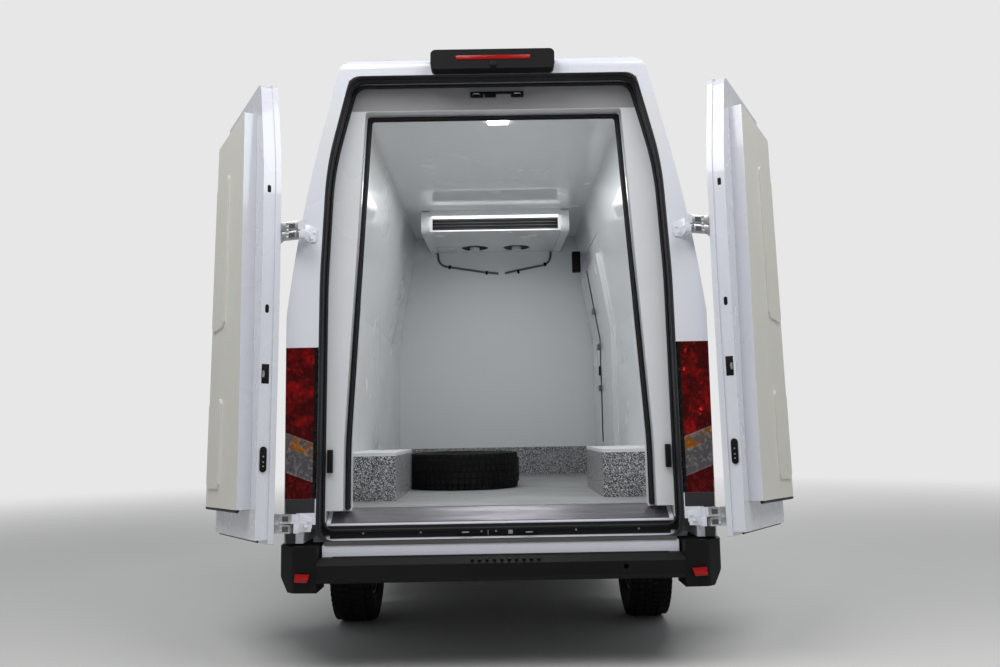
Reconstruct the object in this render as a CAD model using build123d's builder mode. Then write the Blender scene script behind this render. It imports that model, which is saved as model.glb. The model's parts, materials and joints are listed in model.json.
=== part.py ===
from build123d import *
import math
import os

os.makedirs("parts", exist_ok=True)

# A high-roof panel van with an insulated load space. Millimetres, +Y forward, +X to its right, +Z up.
# The origin is on the ground, midway between the two bumpers.

# Overall size
wheelbase = 3520
front_overhang = 1010
rear_overhang = 1170
half_width = 1005
widest_z = 780
roof_height = 2872
front_end_y = (wheelbase + front_overhang + rear_overhang) / 2
rear_end_y = -front_end_y
front_axle_y = front_end_y - front_overhang
rear_axle_y = front_axle_y - wheelbase

# Body shell
hull_bottom = 300
reach_x = half_width + 95  # cutting blocks reach past the body by these
reach_y = front_end_y + 150
reach_z = roof_height + 128
sill_half_width = 955
roof_edge_half_width = half_width - 273
roof_edge_z = roof_height - 34
roof_corner_radius = 110
roof_drop = 18
tumble_z = roof_height - 1232
roof_seam_z = roof_height - 322
panel_recess = 6
panel_gap = 8
seam = 0.3
screen_base = (front_axle_y + 230, 1400)
screen_top = (front_axle_y - 510, roof_height - 682)
forehead = (front_axle_y - 1320, roof_height)
bonnet_nose = (front_axle_y + 860, 1175)
bumper_nose_z = 640
screen_radius = 4200
screen_frame_depth = 55

# Cab
cab_wall = 60
cab_roof_thickness = 50
cab_back_y = front_axle_y - 1520
door_rear_y = front_axle_y - 1410
door_front_y = front_axle_y - 250
sill_z = 430
door_bottom_z = 520
belt_z = 1330
cab_floor_z = 560
firewall_top_z = 1285
front_seam_y = front_axle_y + 440
bonnet_half_width = half_width - 285
bonnet_edge_z = 1105
cowl_y = screen_base[0] + 10
bonnet_rear_y = cowl_y + 6
bonnet_hinge_z = screen_base[1] - 2
bonnet_hinge_radius = 2.8
cab_hinge_x = half_width - 15
cab_hinge_y = door_front_y + panel_gap / 2
cab_hinge_radius = 3.6
cab_hinge_heights = (880, 1220)
cab_hinge_length = 30
lamp_bottom_z = 760
bumper_top_z = 700
lamp_top_z = 1095
grille_half_width = 500
grille_slot = 24
grille_pitch = 48
grille_slots = 7

# Rear face: it leans forward by rear_lean for each millimetre of height
step_depth = 85
rear_lean = 0.05
rear_face_y = rear_end_y + step_depth
floor_z = 690
lean_length = math.hypot(1, rear_lean)
rear_plane = Plane(origin=(0, rear_face_y, floor_z), x_dir=(1, 0, 0), z_dir=(0, -1, rear_lean))

# Rear doors, as widths on the rear face and depths inward from it
pillar_width = 194
door_edge_low = half_width - pillar_width
door_edge_high = roof_edge_half_width - 50
door_low_z = 562
door_high_z = roof_height - 127
door_corner_radius = 60
door_edge = ((door_edge_low, 1750, 4000), (door_edge_low - 23, roof_height - 572, 1500))
liner_edge = ((door_edge_low, 1000, 3000),)
liner_edge_high = door_edge_high + 41
liner_corner_radius = 14
door_skin = 25
door_depth = 80
liner_depth = 140
running_gap = 7
meeting_gap = 12
meeting_setback = 16
liner_setback = 60
frame_inset = 8
frame_low_z = door_low_z + 18
liner_low_z = 710
liner_margin = 105
liner_pads = ((800, 1230), (1590, 2370))
liner_pad_height = 9
door_seat_depth = door_depth + 10
liner_seat_depth = liner_depth + 17
portal_depth = 205
outer_seal = (2, 17, 4)
outer_seal_foot = 42
inner_seal = (99, 122, 9)
hinge_x = door_edge_low + 72
hinge_back = 78
door_open_angle = 240
hinge_heights = (649, 1967)
arm_foot = (door_edge_low - 75, door_edge_low - 3)
arm_foot_lift = 6
lamp_depth = 70
lamp_low_z = 752
lamp_high_z = 1432
lamp_inner = door_edge_low + 10
brake_light_z = roof_height - 71
brake_light_height = 98
sill_half_length = door_edge_low - 24
sill_edge_z = 634
sill_edge_depth = door_seat_depth
sill_foot_z = 566
strip_z = 548
sill_plate_thickness = 3
sill_plate_half_width = door_edge_low - 44
step_half_width = door_edge_low - 14
step_low_z = 396
step_top_z = 499
corner_low_z = 356
corner_top_z = 552
corner_half_width = half_width - 9

# Load space
side_thickness = 220
roof_thickness = 272
inner_half_width = half_width - side_thickness
inner_wall_top_z = 1700
ceiling_z = roof_height - roof_thickness
ceiling_half_width = inner_half_width - 145
liner_high_z = ceiling_z
floor_thickness = 50
floor_groove = 4
floor_panel = (500, cab_back_y - 920, cab_back_y - 160)
bulkhead_thickness = 120
cargo_rear_y = rear_face_y + portal_depth
cargo_front_y = cab_back_y - bulkhead_thickness
arch_box_half_width = 535
arch_box_top_z = 935
arch_box_y = (rear_axle_y - 480, rear_axle_y + 330)
slide_y = (-1000, 240)
slide_top_z = roof_height - 522
slide_liner = (-930, 170, 760, roof_height - 642)
slide_liner_thickness = 22
evaporator_y = (-700, cargo_front_y - seam)
evaporator_low_z = (2440, 2478)
evaporator_half_width = 525
evaporator_cap = 60
hose_radius = 9
hose_bend = 80

# Wheels
tyre_radius = 349
tyre_width = 218
rim_radius = 203
arch_radius = 420
front_track = 1690
rear_track = 1600
kingpin_offset = 130
well_half_width = 505
well_outer = 860
disc_offset = 10
post_radius = 12
post_low = 295.3
post_top = 505
liner_thickness = 12
rail_inner = 400
rail_outer = 470
rail_low_z = 480
towing_x = 540
towing_z = 450
towing_radius = 11
towing_depth = 60
hitch_y = -2300
crossmember_y = (-2400, -1150, -300, 500)
hitch_z = 600
hitch_spacing = 100
hitch_hole_radius = 6.5
glass_thickness = 5
glass_inset = 12
hinge_radius = 12
hinge_height = 80
spare_x = -225
spare_y = -1175


def block(x, y, z, mode=Mode.ADD):
    """A box between two limits on each axis, in the builder that is open."""
    with Locations(((x[0] + x[1]) / 2, (y[0] + y[1]) / 2, (z[0] + z[1]) / 2)):
        Box(x[1] - x[0], y[1] - y[0], z[1] - z[0], mode=mode)


def side_prism(points, x, mode=Mode.ADD, grow=0):
    """A side-view outline of (y, z) points, moved outward by grow, between two limits on X."""
    with BuildSketch(Plane.YZ.offset(x[0])) as profile:
        with BuildLine():
            Polyline(*points, close=True)
        make_face()
        if grow:
            offset(amount=grow, kind=Kind.INTERSECTION)
    extrude(profile.sketch, amount=x[1] - x[0], mode=mode)


def across(x, y, z, radius, width, mode=Mode.ADD):
    """A disc of the given width, centred at x, y, z, with its axis along X."""
    with Locations(Location((x, y, z), (0, 90, 0))):
        Cylinder(radius, width, mode=mode)


def save(builder, name):
    """Label a finished piece and write it to its own file."""
    builder.part.label = name
    export_step(builder.part, f"parts/{name}.step")


def rear_y(z):
    """Where the rear face stands at a height."""
    return rear_face_y + rear_lean * (z - floor_z)


def up_rear(z):
    """The distance up the leaning rear face from the floor's level to a height."""
    return (z - floor_z) * lean_length


def outline(rows, inset=0):
    """A closed outline, anticlockwise, from rows of (x, y, corner radius), with its sides moved inward by inset."""
    points, radii, turns = [], [], []
    for i, (x, y, radius) in enumerate(rows):
        here = Vector(x, y)
        before = (here - Vector(*rows[i - 1][:2])).normalized()
        after = (Vector(*rows[(i + 1) % len(rows)][:2]) - here).normalized()
        turn = math.atan2(before.X * after.Y - before.Y * after.X, before.dot(after))
        inward = Vector(-before.Y, before.X) + Vector(-after.Y, after.X)
        points.append(here + inward * (inset / (1 + before.dot(after))))
        radii.append(max(radius - math.copysign(inset, turn), 1))
        turns.append(math.tan(abs(turn) / 2))
    limited = list(radii)
    for i, point in enumerate(points):
        run = (point - points[i - 1]).length
        share = 0.995 * run / (radii[i - 1] * turns[i - 1] + radii[i] * turns[i])
        limited[i - 1] = min(limited[i - 1], radii[i - 1] * share)
        limited[i] = min(limited[i], radii[i] * share)
    FilletPolyline(*points, radius=limited, close=True)


def mirrored(rows):
    """Rows of (half width, height, corner radius) from the bottom up, followed by their mirror image."""
    return rows + [(-x, y, radius) for x, y, radius in reversed(rows)]


side_outline = [
    # (y, z, corner radius), anticlockwise seen from the right
    (rear_y(hull_bottom), hull_bottom, 10),
    (front_end_y - 30, hull_bottom, 60),
    (front_end_y, bumper_nose_z, 200),
    (*bonnet_nose, 130),
    (*screen_base, 60),
    (*screen_top, 600),
    (*forehead, 700),
    (rear_y(roof_height - roof_drop), roof_height - roof_drop, 70),
]
end_outline = [
    # (half width, z, corner radius)
    (sill_half_width, hull_bottom - 100, 1),
    (half_width, widest_z, 1500),
    (half_width, tumble_z, 7500),
    (roof_edge_half_width, roof_edge_z, roof_corner_radius),
    (300, roof_height + 12, 1500),
]
plan_outline = [
    # (half width, y, corner radius)
    (half_width - 43, rear_face_y - 60, 120),
    (half_width + 2, rear_end_y + 900, 3000),
    (half_width, front_axle_y - 500, 4000),
    (half_width - 45, front_axle_y + 330, 900),
    (half_width - 160, front_end_y - 260, 260),
    (480, front_end_y - 25, 500),
]

# The closed outer form of the body: side view, end view and plan view in common
with BuildPart() as body_form:
    with BuildSketch(Plane.YZ):
        with BuildLine():
            outline(side_outline)
        make_face()
    extrude(amount=half_width + 100, both=True)
    with BuildSketch(Plane.XZ):
        with BuildLine():
            outline(mirrored(end_outline))
        make_face()
    extrude(amount=front_end_y + 100, both=True, mode=Mode.INTERSECT)
    with BuildSketch(Plane.XY):
        with BuildLine():
            outline(mirrored(plan_outline))
        make_face()
    extrude(amount=roof_height + 100, both=True, mode=Mode.INTERSECT)
hull = body_form.part

# The cab's form above the bonnet: its windscreen bows forward in the middle
screen_run = Vector(0, screen_base[0] - screen_top[0], screen_base[1] - screen_top[1])
screen_normal = Vector(0, -screen_run.Z, screen_run.Y).normalized()
screen_axis = Vector(0, *screen_base) - screen_normal * screen_radius
with BuildPart() as cab_form:
    with BuildSketch(Plane(origin=screen_axis, z_dir=screen_run)):
        Circle(screen_radius)
    extrude(amount=4000, both=True)
    add(hull, mode=Mode.INTERSECT)
cab_hull = cab_form.part

# The hollow of the cab and the engine bay, with flat walls
with BuildPart() as cab_hollow:
    side_prism(
        [
            (cab_back_y, cab_floor_z),
            (front_axle_y + 100, cab_floor_z),
            (front_axle_y + 180, 1340),
            (screen_base[0] - 60, screen_base[1] - 20),
            (screen_top[0] - 10, screen_top[1] - 20),
            (forehead[0] - 60, roof_height - cab_roof_thickness - 30),
            (cab_back_y, roof_height - cab_roof_thickness - 30),
        ],
        (-half_width, half_width),
    )
    with BuildSketch(Plane.XZ):
        with BuildLine():
            Polyline(
                (-half_width + cab_wall, hull_bottom),
                (half_width - cab_wall, hull_bottom),
                (half_width - cab_wall - 5, 1500),
                (roof_edge_half_width - 5, roof_edge_z - 190),
                (roof_edge_half_width - 100, roof_height),
                (-roof_edge_half_width + 100, roof_height),
                (-roof_edge_half_width + 5, roof_edge_z - 190),
                (-half_width + cab_wall + 5, 1500),
                close=True,
            )
        make_face()
    extrude(amount=front_end_y + 100, both=True, mode=Mode.INTERSECT)
    with BuildSketch(Plane(origin=screen_axis, z_dir=screen_run)):
        Circle(screen_radius - screen_frame_depth)
    extrude(amount=4000, both=True, mode=Mode.INTERSECT)
cab_space = cab_hollow.part

with BuildPart() as bay_hollow:
    side_prism(
        [
            (door_front_y + 120, hull_bottom - 10),
            (front_end_y - 120, hull_bottom - 10),
            (front_end_y - 90, bumper_nose_z),
            (bonnet_nose[0] - 90, bonnet_nose[1] - 60),
            (screen_base[0], screen_base[1] - 50),
            (door_front_y + 120, screen_base[1] - 50),
        ],
        (-half_width, half_width),
    )
    with BuildSketch(Plane.XY):
        with BuildLine():
            Polyline(
                (half_width - 60, door_front_y),
                (half_width - 95, front_axle_y + 300),
                (half_width - 240, front_end_y - 260),
                (440, front_end_y - 90),
                (-440, front_end_y - 90),
                (-half_width + 240, front_end_y - 260),
                (-half_width + 95, front_axle_y + 300),
                (-half_width + 60, door_front_y),
                close=True,
            )
        make_face()
    extrude(amount=2000, mode=Mode.INTERSECT)
bay_space = bay_hollow.part

# The load space inside its insulated walls
with BuildPart() as load_hollow:
    with BuildSketch(Plane.XZ.offset(-cab_back_y)):
        with BuildLine():
            Polyline(
                (-inner_half_width, floor_z - floor_thickness),
                (inner_half_width, floor_z - floor_thickness),
                (inner_half_width, inner_wall_top_z),
                (ceiling_half_width, ceiling_z),
                (-ceiling_half_width, ceiling_z),
                (-inner_half_width, inner_wall_top_z),
                close=True,
            )
        make_face()
    extrude(amount=cab_back_y - cargo_rear_y)
load_space = load_hollow.part


def wall_x(z):
    """Where the load space's side wall stands at a height."""
    lean = max(0, z - inner_wall_top_z) / (ceiling_z - inner_wall_top_z)
    return inner_half_width - lean * (inner_half_width - ceiling_half_width)


def door_face(inset=0, low=door_low_z, high=door_high_z, radius=door_corner_radius, edge=door_edge, top=door_edge_high):
    """The doorway's outline on the rear face, for both doors together, with its sides moved inward."""
    rows = [(door_edge_low - inset, up_rear(low), 5)]
    rows += [(x - inset, up_rear(z), turn) for x, z, turn in edge]
    rows.append((top - inset, up_rear(high), radius))
    outline(mirrored(rows))


def liner_face(inset, low, high):
    """The outline of the liners and of their ledge in the doorway."""
    door_face(inset, low, high, liner_corner_radius, liner_edge, liner_edge_high)


def hinge_plane(height):
    """A plane across the rear hinges at a height: its X is the body's, its Y runs inward from the rear face."""
    origin = rear_plane.from_local_coords((0, up_rear(height), 0))
    return Plane(origin=origin, x_dir=(1, 0, 0), z_dir=rear_plane.y_dir)


# The doorway through the rear wall, stepped for the door and for its liner
doorway_steps = [
    # (outline, depth from, depth to, edge inset, bottom z, top z)
    (door_face, -20, door_skin + running_gap, -running_gap, door_low_z - running_gap, door_high_z + running_gap),
    (
        door_face,
        0,
        door_seat_depth,
        frame_inset - running_gap,
        frame_low_z - running_gap,
        door_high_z - frame_inset + running_gap,
    ),
    (liner_face, 0, liner_seat_depth, liner_margin - running_gap, frame_low_z, liner_high_z + running_gap),
    (liner_face, 0, portal_depth + 40, liner_margin + 20, frame_low_z, liner_high_z - 25),
]
with BuildPart() as doorway:
    for face, depth_from, depth_to, inset, low, high in doorway_steps:
        with BuildSketch(rear_plane.offset(-depth_from)):
            with BuildLine():
                face(inset, low, high)
            make_face()
        extrude(amount=depth_from - depth_to)


def panel_recess_form(side, y, z):
    """The shallow recess pressed into one side of the body between two limits on Y and on Z."""
    with BuildPart() as recess:
        with BuildSketch(Plane.YZ.offset(side * (half_width - 250))):
            with Locations(((y[0] + y[1]) / 2, (z[0] + z[1]) / 2)):
                RectangleRounded(y[1] - y[0], z[1] - z[0], 40)
        extrude(amount=side * 300)
        add(hull.moved(Location((-side * panel_recess, 0, 0))), mode=Mode.SUBTRACT)
    return recess.part


window_recesses = [
    # (from y, to y, from z, to z) of the recesses where a glazed body has its side windows
    (rear_face_y + 190, slide_y[0] - 60, 1330, 2120),
    (slide_y[0] + 70, slide_y[1] - 70, 1330, 2120),
]

# Side walls, from the rear corner to the cab door, with the lower half of each rear hinge
for side, name in ((-1, "left"), (1, "right")):
    with BuildPart() as wall:
        add(hull)
        block(sorted((0, side * reach_x)), (rear_end_y, door_rear_y - panel_gap), (sill_z, roof_seam_z), Mode.INTERSECT)
        block((-sill_half_length - 3, sill_half_length + 3), (rear_end_y, cargo_rear_y), (0, floor_z), Mode.SUBTRACT)
        block((-reach_x, reach_x), (rear_end_y, rear_face_y + lamp_depth), (lamp_low_z, lamp_high_z), Mode.SUBTRACT)
        add(load_space, mode=Mode.SUBTRACT)
        add(doorway.part, mode=Mode.SUBTRACT)
        block((-870, 870), (rear_end_y, door_rear_y), (hull_bottom, floor_z - floor_thickness), Mode.SUBTRACT)
        block((-900, 900), (cab_back_y, door_rear_y), (hull_bottom, roof_height), Mode.SUBTRACT)
        block((-reach_x, reach_x), (rear_end_y, rear_face_y + 345), (hull_bottom, corner_top_z + panel_gap), Mode.SUBTRACT)
        across(side * 800, rear_axle_y, tyre_radius, arch_radius, 530, Mode.SUBTRACT)
        for y0, y1, z0, z1 in window_recesses:
            if side < 0 or y0 < slide_y[0]:
                add(panel_recess_form(side, (y0, y1), (z0, z1)), mode=Mode.SUBTRACT)
        if side > 0:
            block((0, reach_x), slide_y, (0, slide_top_z), Mode.SUBTRACT)
            block((half_width - 26, reach_x), (slide_y[0] - 1080, slide_y[0]), (1195, 1222), Mode.SUBTRACT)
        for height in hinge_heights:
            with BuildSketch(hinge_plane(height + 0.7 - hinge_height / 2)) as bracket:
                with BuildLine():
                    Polyline(
                        (side * (hinge_x - 46), 2),
                        (side * (hinge_x + 10), 2),
                        (side * (hinge_x + 10), -hinge_back),
                        (side * (hinge_x - 8), -hinge_back),
                        (side * (hinge_x - 14), -6),
                        (side * (hinge_x - 46), -6),
                        close=True,
                    )
                make_face()
                with Locations((side * hinge_x, -hinge_back)):
                    Circle(hinge_radius)
            extrude(bracket.sketch, amount=hinge_height / 2)
    save(wall, f"side_{name}")

with BuildPart() as sliding_door:
    add(hull)
    block((0, reach_x), (slide_y[0] + panel_gap, slide_y[1] - panel_gap), (sill_z, slide_top_z - panel_gap), Mode.INTERSECT)
    add(load_space, mode=Mode.SUBTRACT)
    block((0, 870), (rear_end_y, door_rear_y), (hull_bottom, floor_z - floor_thickness), Mode.SUBTRACT)
    add(panel_recess_form(1, window_recesses[1][:2], window_recesses[1][2:]), mode=Mode.SUBTRACT)
    with BuildSketch(Plane.XZ.offset(-slide_liner[0])) as lining:
        with BuildLine():
            Polyline(
                (wall_x(slide_liner[2]), slide_liner[2]),
                (wall_x(inner_wall_top_z), inner_wall_top_z),
                (wall_x(slide_liner[3]), slide_liner[3]),
                (wall_x(slide_liner[3]) - slide_liner_thickness, slide_liner[3] - 10),
                (wall_x(inner_wall_top_z) - slide_liner_thickness, inner_wall_top_z - 3),
                (wall_x(slide_liner[2]) - slide_liner_thickness, slide_liner[2] + 10),
                close=True,
            )
        make_face()
    extrude(lining.sketch, amount=slide_liner[0] - slide_liner[1])
save(sliding_door, "sliding_door")

with BuildPart() as roof:
    add(hull)
    block((-reach_x, reach_x), (rear_end_y, cab_back_y), (roof_seam_z + seam, reach_z), Mode.INTERSECT)
    add(load_space, mode=Mode.SUBTRACT)
    add(doorway.part, mode=Mode.SUBTRACT)
save(roof, "roof")

with BuildPart() as bulkhead:
    block((-reach_x, reach_x), (cargo_front_y, cab_back_y), (floor_z + seam, reach_z))
    add(load_space, mode=Mode.INTERSECT)
save(bulkhead, "bulkhead")

with BuildPart() as load_floor:
    block(
        (-inner_half_width, inner_half_width),
        (cargo_rear_y, cab_back_y),
        (floor_z - floor_thickness, floor_z),
    )
    for side in (-1, 1):
        across(side * 830, rear_axle_y, tyre_radius, arch_radius, 530, Mode.SUBTRACT)
    with BuildSketch(Plane.XY.offset(floor_z)) as seam_line:
        with Locations((0, (floor_panel[1] + floor_panel[2]) / 2)):
            Rectangle(2 * floor_panel[0] + 2 * floor_groove, floor_panel[2] - floor_panel[1] + 2 * floor_groove)
            Rectangle(2 * floor_panel[0], floor_panel[2] - floor_panel[1], mode=Mode.SUBTRACT)
    extrude(seam_line.sketch, amount=-2, mode=Mode.SUBTRACT)
save(load_floor, "load_floor")

with BuildPart() as arch_boxes:
    for side in (-1, 1):
        block(
            sorted((side * arch_box_half_width, side * inner_half_width)),
            arch_box_y,
            (floor_z + seam, arch_box_top_z),
        )
    for side in (-1, 1):
        across(side * 850, rear_axle_y, tyre_radius, arch_radius, 530, Mode.SUBTRACT)
save(arch_boxes, "arch_boxes")

# Threshold between the sides: it slopes down to the rear under its aluminium plate
sill_top = [
    (cargo_rear_y - seam, floor_z),
    (rear_face_y + 165, floor_z),
    (rear_y(sill_edge_z) + sill_edge_depth, sill_edge_z),
]
sill_rear = [
    (rear_y(sill_foot_z) + sill_edge_depth, sill_foot_z),
    (rear_y(strip_z) + 3, strip_z),
    (rear_y(step_top_z) + 3, step_top_z + seam),
]
with BuildPart() as rear_sill:
    side_prism([*sill_top, *sill_rear, (cargo_rear_y - seam, step_top_z + seam)], (-sill_half_length, sill_half_length))
save(rear_sill, "rear_sill")

with BuildPart() as sill_plate:
    plate_section = [*sill_top, *[(y, z + sill_plate_thickness) for y, z in reversed(sill_top)]]
    side_prism(plate_section, (-sill_plate_half_width, sill_plate_half_width))
    for side in (-1, 1):
        notch = sorted((side * (door_edge_low - liner_margin - 22), side * sill_half_length))
        block(notch, (rear_face_y + 150, 0), (floor_z - 8, floor_z + 10), Mode.SUBTRACT)
save(sill_plate, "sill_plate")

# Door seals on the two ledges of the doorway: the outer one goes on across the sill, the inner one ends above it
seal_rings = [
    # (outline, depth of the ledge, seal, bottom z, height of the bottom run, top z)
    (door_face, door_seat_depth, outer_seal, frame_low_z + 6, outer_seal_foot, door_high_z - frame_inset + 4),
    (liner_face, liner_seat_depth, inner_seal, frame_low_z + 6, 20, liner_high_z + 4),
]
with BuildPart() as portal_seals:
    for face, depth, (ring_outer, ring_inner, ring_height), low, foot, high in seal_rings:
        with BuildSketch(rear_plane.offset(-depth + seam)) as ring:
            with BuildLine():
                face(ring_outer, low, high)
            make_face()
            with BuildLine():
                face(ring_inner, low + foot, high - ring_inner + ring_outer)
            make_face(mode=Mode.SUBTRACT)
        extrude(ring.sketch, amount=ring_height)
    block((-reach_x, reach_x), (rear_face_y + 120, 0), (0, floor_z + 4), Mode.SUBTRACT)
save(portal_seals, "portal_seals")

# Rear step with its corners
with BuildPart() as rear_step:
    side_prism(
        [
            (rear_end_y + 14, step_low_z),
            (rear_face_y + 150, step_low_z),
            (rear_face_y + 150, step_top_z),
            (rear_end_y + 38, step_top_z),
            (rear_end_y, step_top_z - 26),
            (rear_end_y, step_low_z + 20),
        ],
        (-step_half_width, step_half_width),
    )
    for side in (-1, 1):
        block(sorted((side * rail_inner, side * rail_outer)), (rear_face_y, cargo_rear_y + 200), (400, rail_low_z - seam))
    with Locations(Location((towing_x, rear_end_y, towing_z), (90, 0, 0))):
        Cylinder(towing_radius, 2 * towing_depth, mode=Mode.SUBTRACT)
save(rear_step, "rear_step")

with BuildPart() as rear_corners:
    for side in (-1, 1):
        with BuildSketch(Plane.XY.offset(corner_low_z)) as corner_plan:
            with BuildLine():
                Polyline(
                    (side * (step_half_width + seam), rear_end_y + 16),
                    (side * (corner_half_width - 95), rear_end_y + 22),
                    (side * (corner_half_width - 22), rear_end_y + 95),
                    (side * corner_half_width, rear_face_y + 338),
                    (side * (corner_half_width - 96), rear_face_y + 338),
                    (side * (corner_half_width - 96), rear_face_y + 95),
                    (side * (step_half_width + seam), rear_face_y + 95),
                    close=True,
                )
            make_face()
            vertices = corner_plan.vertices().filter_by_position(Axis.Y, rear_end_y + 17, rear_end_y + 100)
            fillet(vertices, 40)
        extrude(corner_plan.sketch, amount=corner_top_z - corner_low_z)
    with BuildSketch(Plane.XZ.offset(-rear_face_y)) as flare:
        with BuildLine():
            Polyline((corner_half_width - 10, 440), (reach_x, 440), (reach_x, 300), (corner_half_width - 100, 300), close=True)
        make_face()
        mirror(about=Plane.YZ)
    extrude(flare.sketch, amount=500, both=True, mode=Mode.SUBTRACT)
save(rear_corners, "rear_corners")

# Cab
door_side_outline = [
    (door_rear_y, door_bottom_z),
    (front_axle_y - 470, door_bottom_z),
    (door_front_y, 800),
    (door_front_y, belt_z + 30),
    (front_axle_y - 640, 2110),
    (front_axle_y - 780, 2200),
    (door_rear_y, 2240),
]
window_side_outline = [
    (door_rear_y + 90, belt_z),
    (door_front_y - 110, belt_z),
    (front_axle_y - 700, 2050),
    (front_axle_y - 800, 2120),
    (door_rear_y + 90, 2150),
]


with BuildPart() as door_opening:
    side_prism(door_side_outline, (-reach_x, reach_x), grow=panel_gap)

with BuildPart() as screen_opening:
    with BuildSketch(Plane(origin=(0, *screen_base), x_dir=(1, 0, 0), z_dir=screen_normal)):
        with BuildLine():
            Polyline((-800, -40), (800, -40), (690, -1060), (-690, -1060), close=True)
        make_face()
    extrude(amount=400, both=True)

def bonnet_hinge(x, forward):
    """Half of a bonnet hinge: a barrel in the gap behind the bonnet with a lug to the cowl (-1) or the bonnet (1)."""
    middle_y = (cowl_y + bonnet_rear_y) / 2
    reach = sorted((middle_y, middle_y + forward * 8))
    half = sorted((x, x + forward * math.copysign(30, x)))
    lug_height = 22 if forward > 0 else 68
    across((half[0] + half[1]) / 2, middle_y, bonnet_hinge_z, bonnet_hinge_radius, 30 - seam)
    block((half[0] + seam / 2, half[1] - seam / 2), reach, (bonnet_hinge_z - lug_height, bonnet_hinge_z))


with BuildPart() as cab_shell:
    add(cab_hull)
    side_prism(
        [
            (cab_back_y, sill_z),
            (door_front_y + panel_gap - seam, sill_z),
            (door_front_y + panel_gap - seam, 1250),
            (cowl_y, screen_base[1] - 100),
            (cowl_y, reach_z),
            (cab_back_y, reach_z),
        ],
        (-reach_x, reach_x),
        Mode.INTERSECT,
    )
    add(cab_space, mode=Mode.SUBTRACT)
    add(door_opening.part, mode=Mode.SUBTRACT)
    add(screen_opening.part, mode=Mode.SUBTRACT)
    block((-reach_x, reach_x), (0, door_rear_y - panel_gap), (0, roof_seam_z), Mode.SUBTRACT)
    block((-885, 885), (0, front_end_y), (0, cab_floor_z), Mode.SUBTRACT)
    for side in (-1, 1):
        block(sorted((side * 880, side * 944)), (door_front_y + 9, door_front_y + 90), (sill_z, 1251))
        block(sorted((side * 880, side * 965)), (door_front_y + 9, door_front_y + 90), (1251, 1320))
        block(sorted((side * 885, side * 940)), (door_front_y - 60, door_front_y + 90), (sill_z, cab_floor_z - 50))
    across(0, front_axle_y, tyre_radius, arch_radius, 2 * reach_x, Mode.SUBTRACT)
    for side in (-1, 1):
        for height in cab_hinge_heights:
            low_half = (height - cab_hinge_length - seam, height - seam)
            with Locations((side * cab_hinge_x, cab_hinge_y, height - seam - cab_hinge_length / 2)):
                Cylinder(cab_hinge_radius, cab_hinge_length)
            block(sorted((side * 932, side * cab_hinge_x)), (cab_hinge_y - 1, cab_hinge_y + 2.5), low_half)
            block(sorted((side * 932, side * 943)), (cab_hinge_y - 1, cab_hinge_y + 20), low_half)
        bonnet_hinge(side * 500, -1)
save(cab_shell, "cab_shell")

with BuildPart() as windscreen:
    add(cab_hull)
    add(screen_opening.part, mode=Mode.INTERSECT)
    block((-reach_x, reach_x), (front_axle_y - 600, front_end_y), (1200, 2400), Mode.INTERSECT)
    add(cab_hull.moved(Location(screen_normal * -glass_thickness)), mode=Mode.SUBTRACT)
save(windscreen, "windscreen")

# Front: wings, bonnet, bumper, grille and lamps are cut from the same form
with BuildPart() as front_wings:
    add(hull)
    side_prism(
        [
            (door_front_y + panel_gap, sill_z),
            (front_seam_y, sill_z),
            (front_seam_y, lamp_bottom_z - 10),
            (front_end_y, lamp_bottom_z - 10),
            (front_end_y, 1100),
            (cowl_y + 3, screen_base[1] - 40),
            (cowl_y + 3, 1250),
            (door_front_y + panel_gap, 1250),
        ],
        (-reach_x, reach_x),
        Mode.INTERSECT,
    )
    add(bay_space, mode=Mode.SUBTRACT)
    add(cab_space, mode=Mode.SUBTRACT)
    block((-bonnet_half_width, bonnet_half_width), (0, reach_y), (0, reach_z), Mode.SUBTRACT)
    block((-945, 945), (0, door_front_y + 125), (0, reach_z), Mode.SUBTRACT)
    block((-reach_x, reach_x), (front_axle_y + 500, reach_y), (lamp_bottom_z - 20, lamp_top_z), Mode.SUBTRACT)
    across(0, front_axle_y, tyre_radius, arch_radius, 2 * reach_x, Mode.SUBTRACT)
save(front_wings, "front_wings")

with BuildPart() as bonnet:
    add(hull)
    side_prism(
        [
            (bonnet_rear_y, bonnet_edge_z),
            (front_end_y, bonnet_edge_z),
            (front_end_y, 1500),
            (bonnet_rear_y, 1500),
        ],
        (-bonnet_half_width + 5, bonnet_half_width - 5),
        Mode.INTERSECT,
    )
    add(bay_space, mode=Mode.SUBTRACT)
    for side in (-1, 1):
        bonnet_hinge(side * 500, 1)
save(bonnet, "bonnet")

intake_half_width = 430
intake_slots = ((405, 437), (451, 483), (497, 529))
with BuildPart() as front_bumper:
    add(hull)
    side_prism(
        [
            (front_seam_y + seam, hull_bottom - 5),
            (front_end_y + 10, hull_bottom - 5),
            (front_end_y + 10, bumper_top_z),
            (front_end_y - 300, bumper_top_z),
            (front_seam_y + seam, lamp_bottom_z - 10 - seam),
        ],
        (-reach_x, reach_x),
        Mode.INTERSECT,
    )
    add(bay_space, mode=Mode.SUBTRACT)
    across(0, front_axle_y, tyre_radius, arch_radius, 2 * reach_x, Mode.SUBTRACT)
    for low, high in intake_slots:
        block((-intake_half_width, intake_half_width), (front_axle_y + 600, reach_y), (low, high), Mode.SUBTRACT)
save(front_bumper, "front_bumper")

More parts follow.
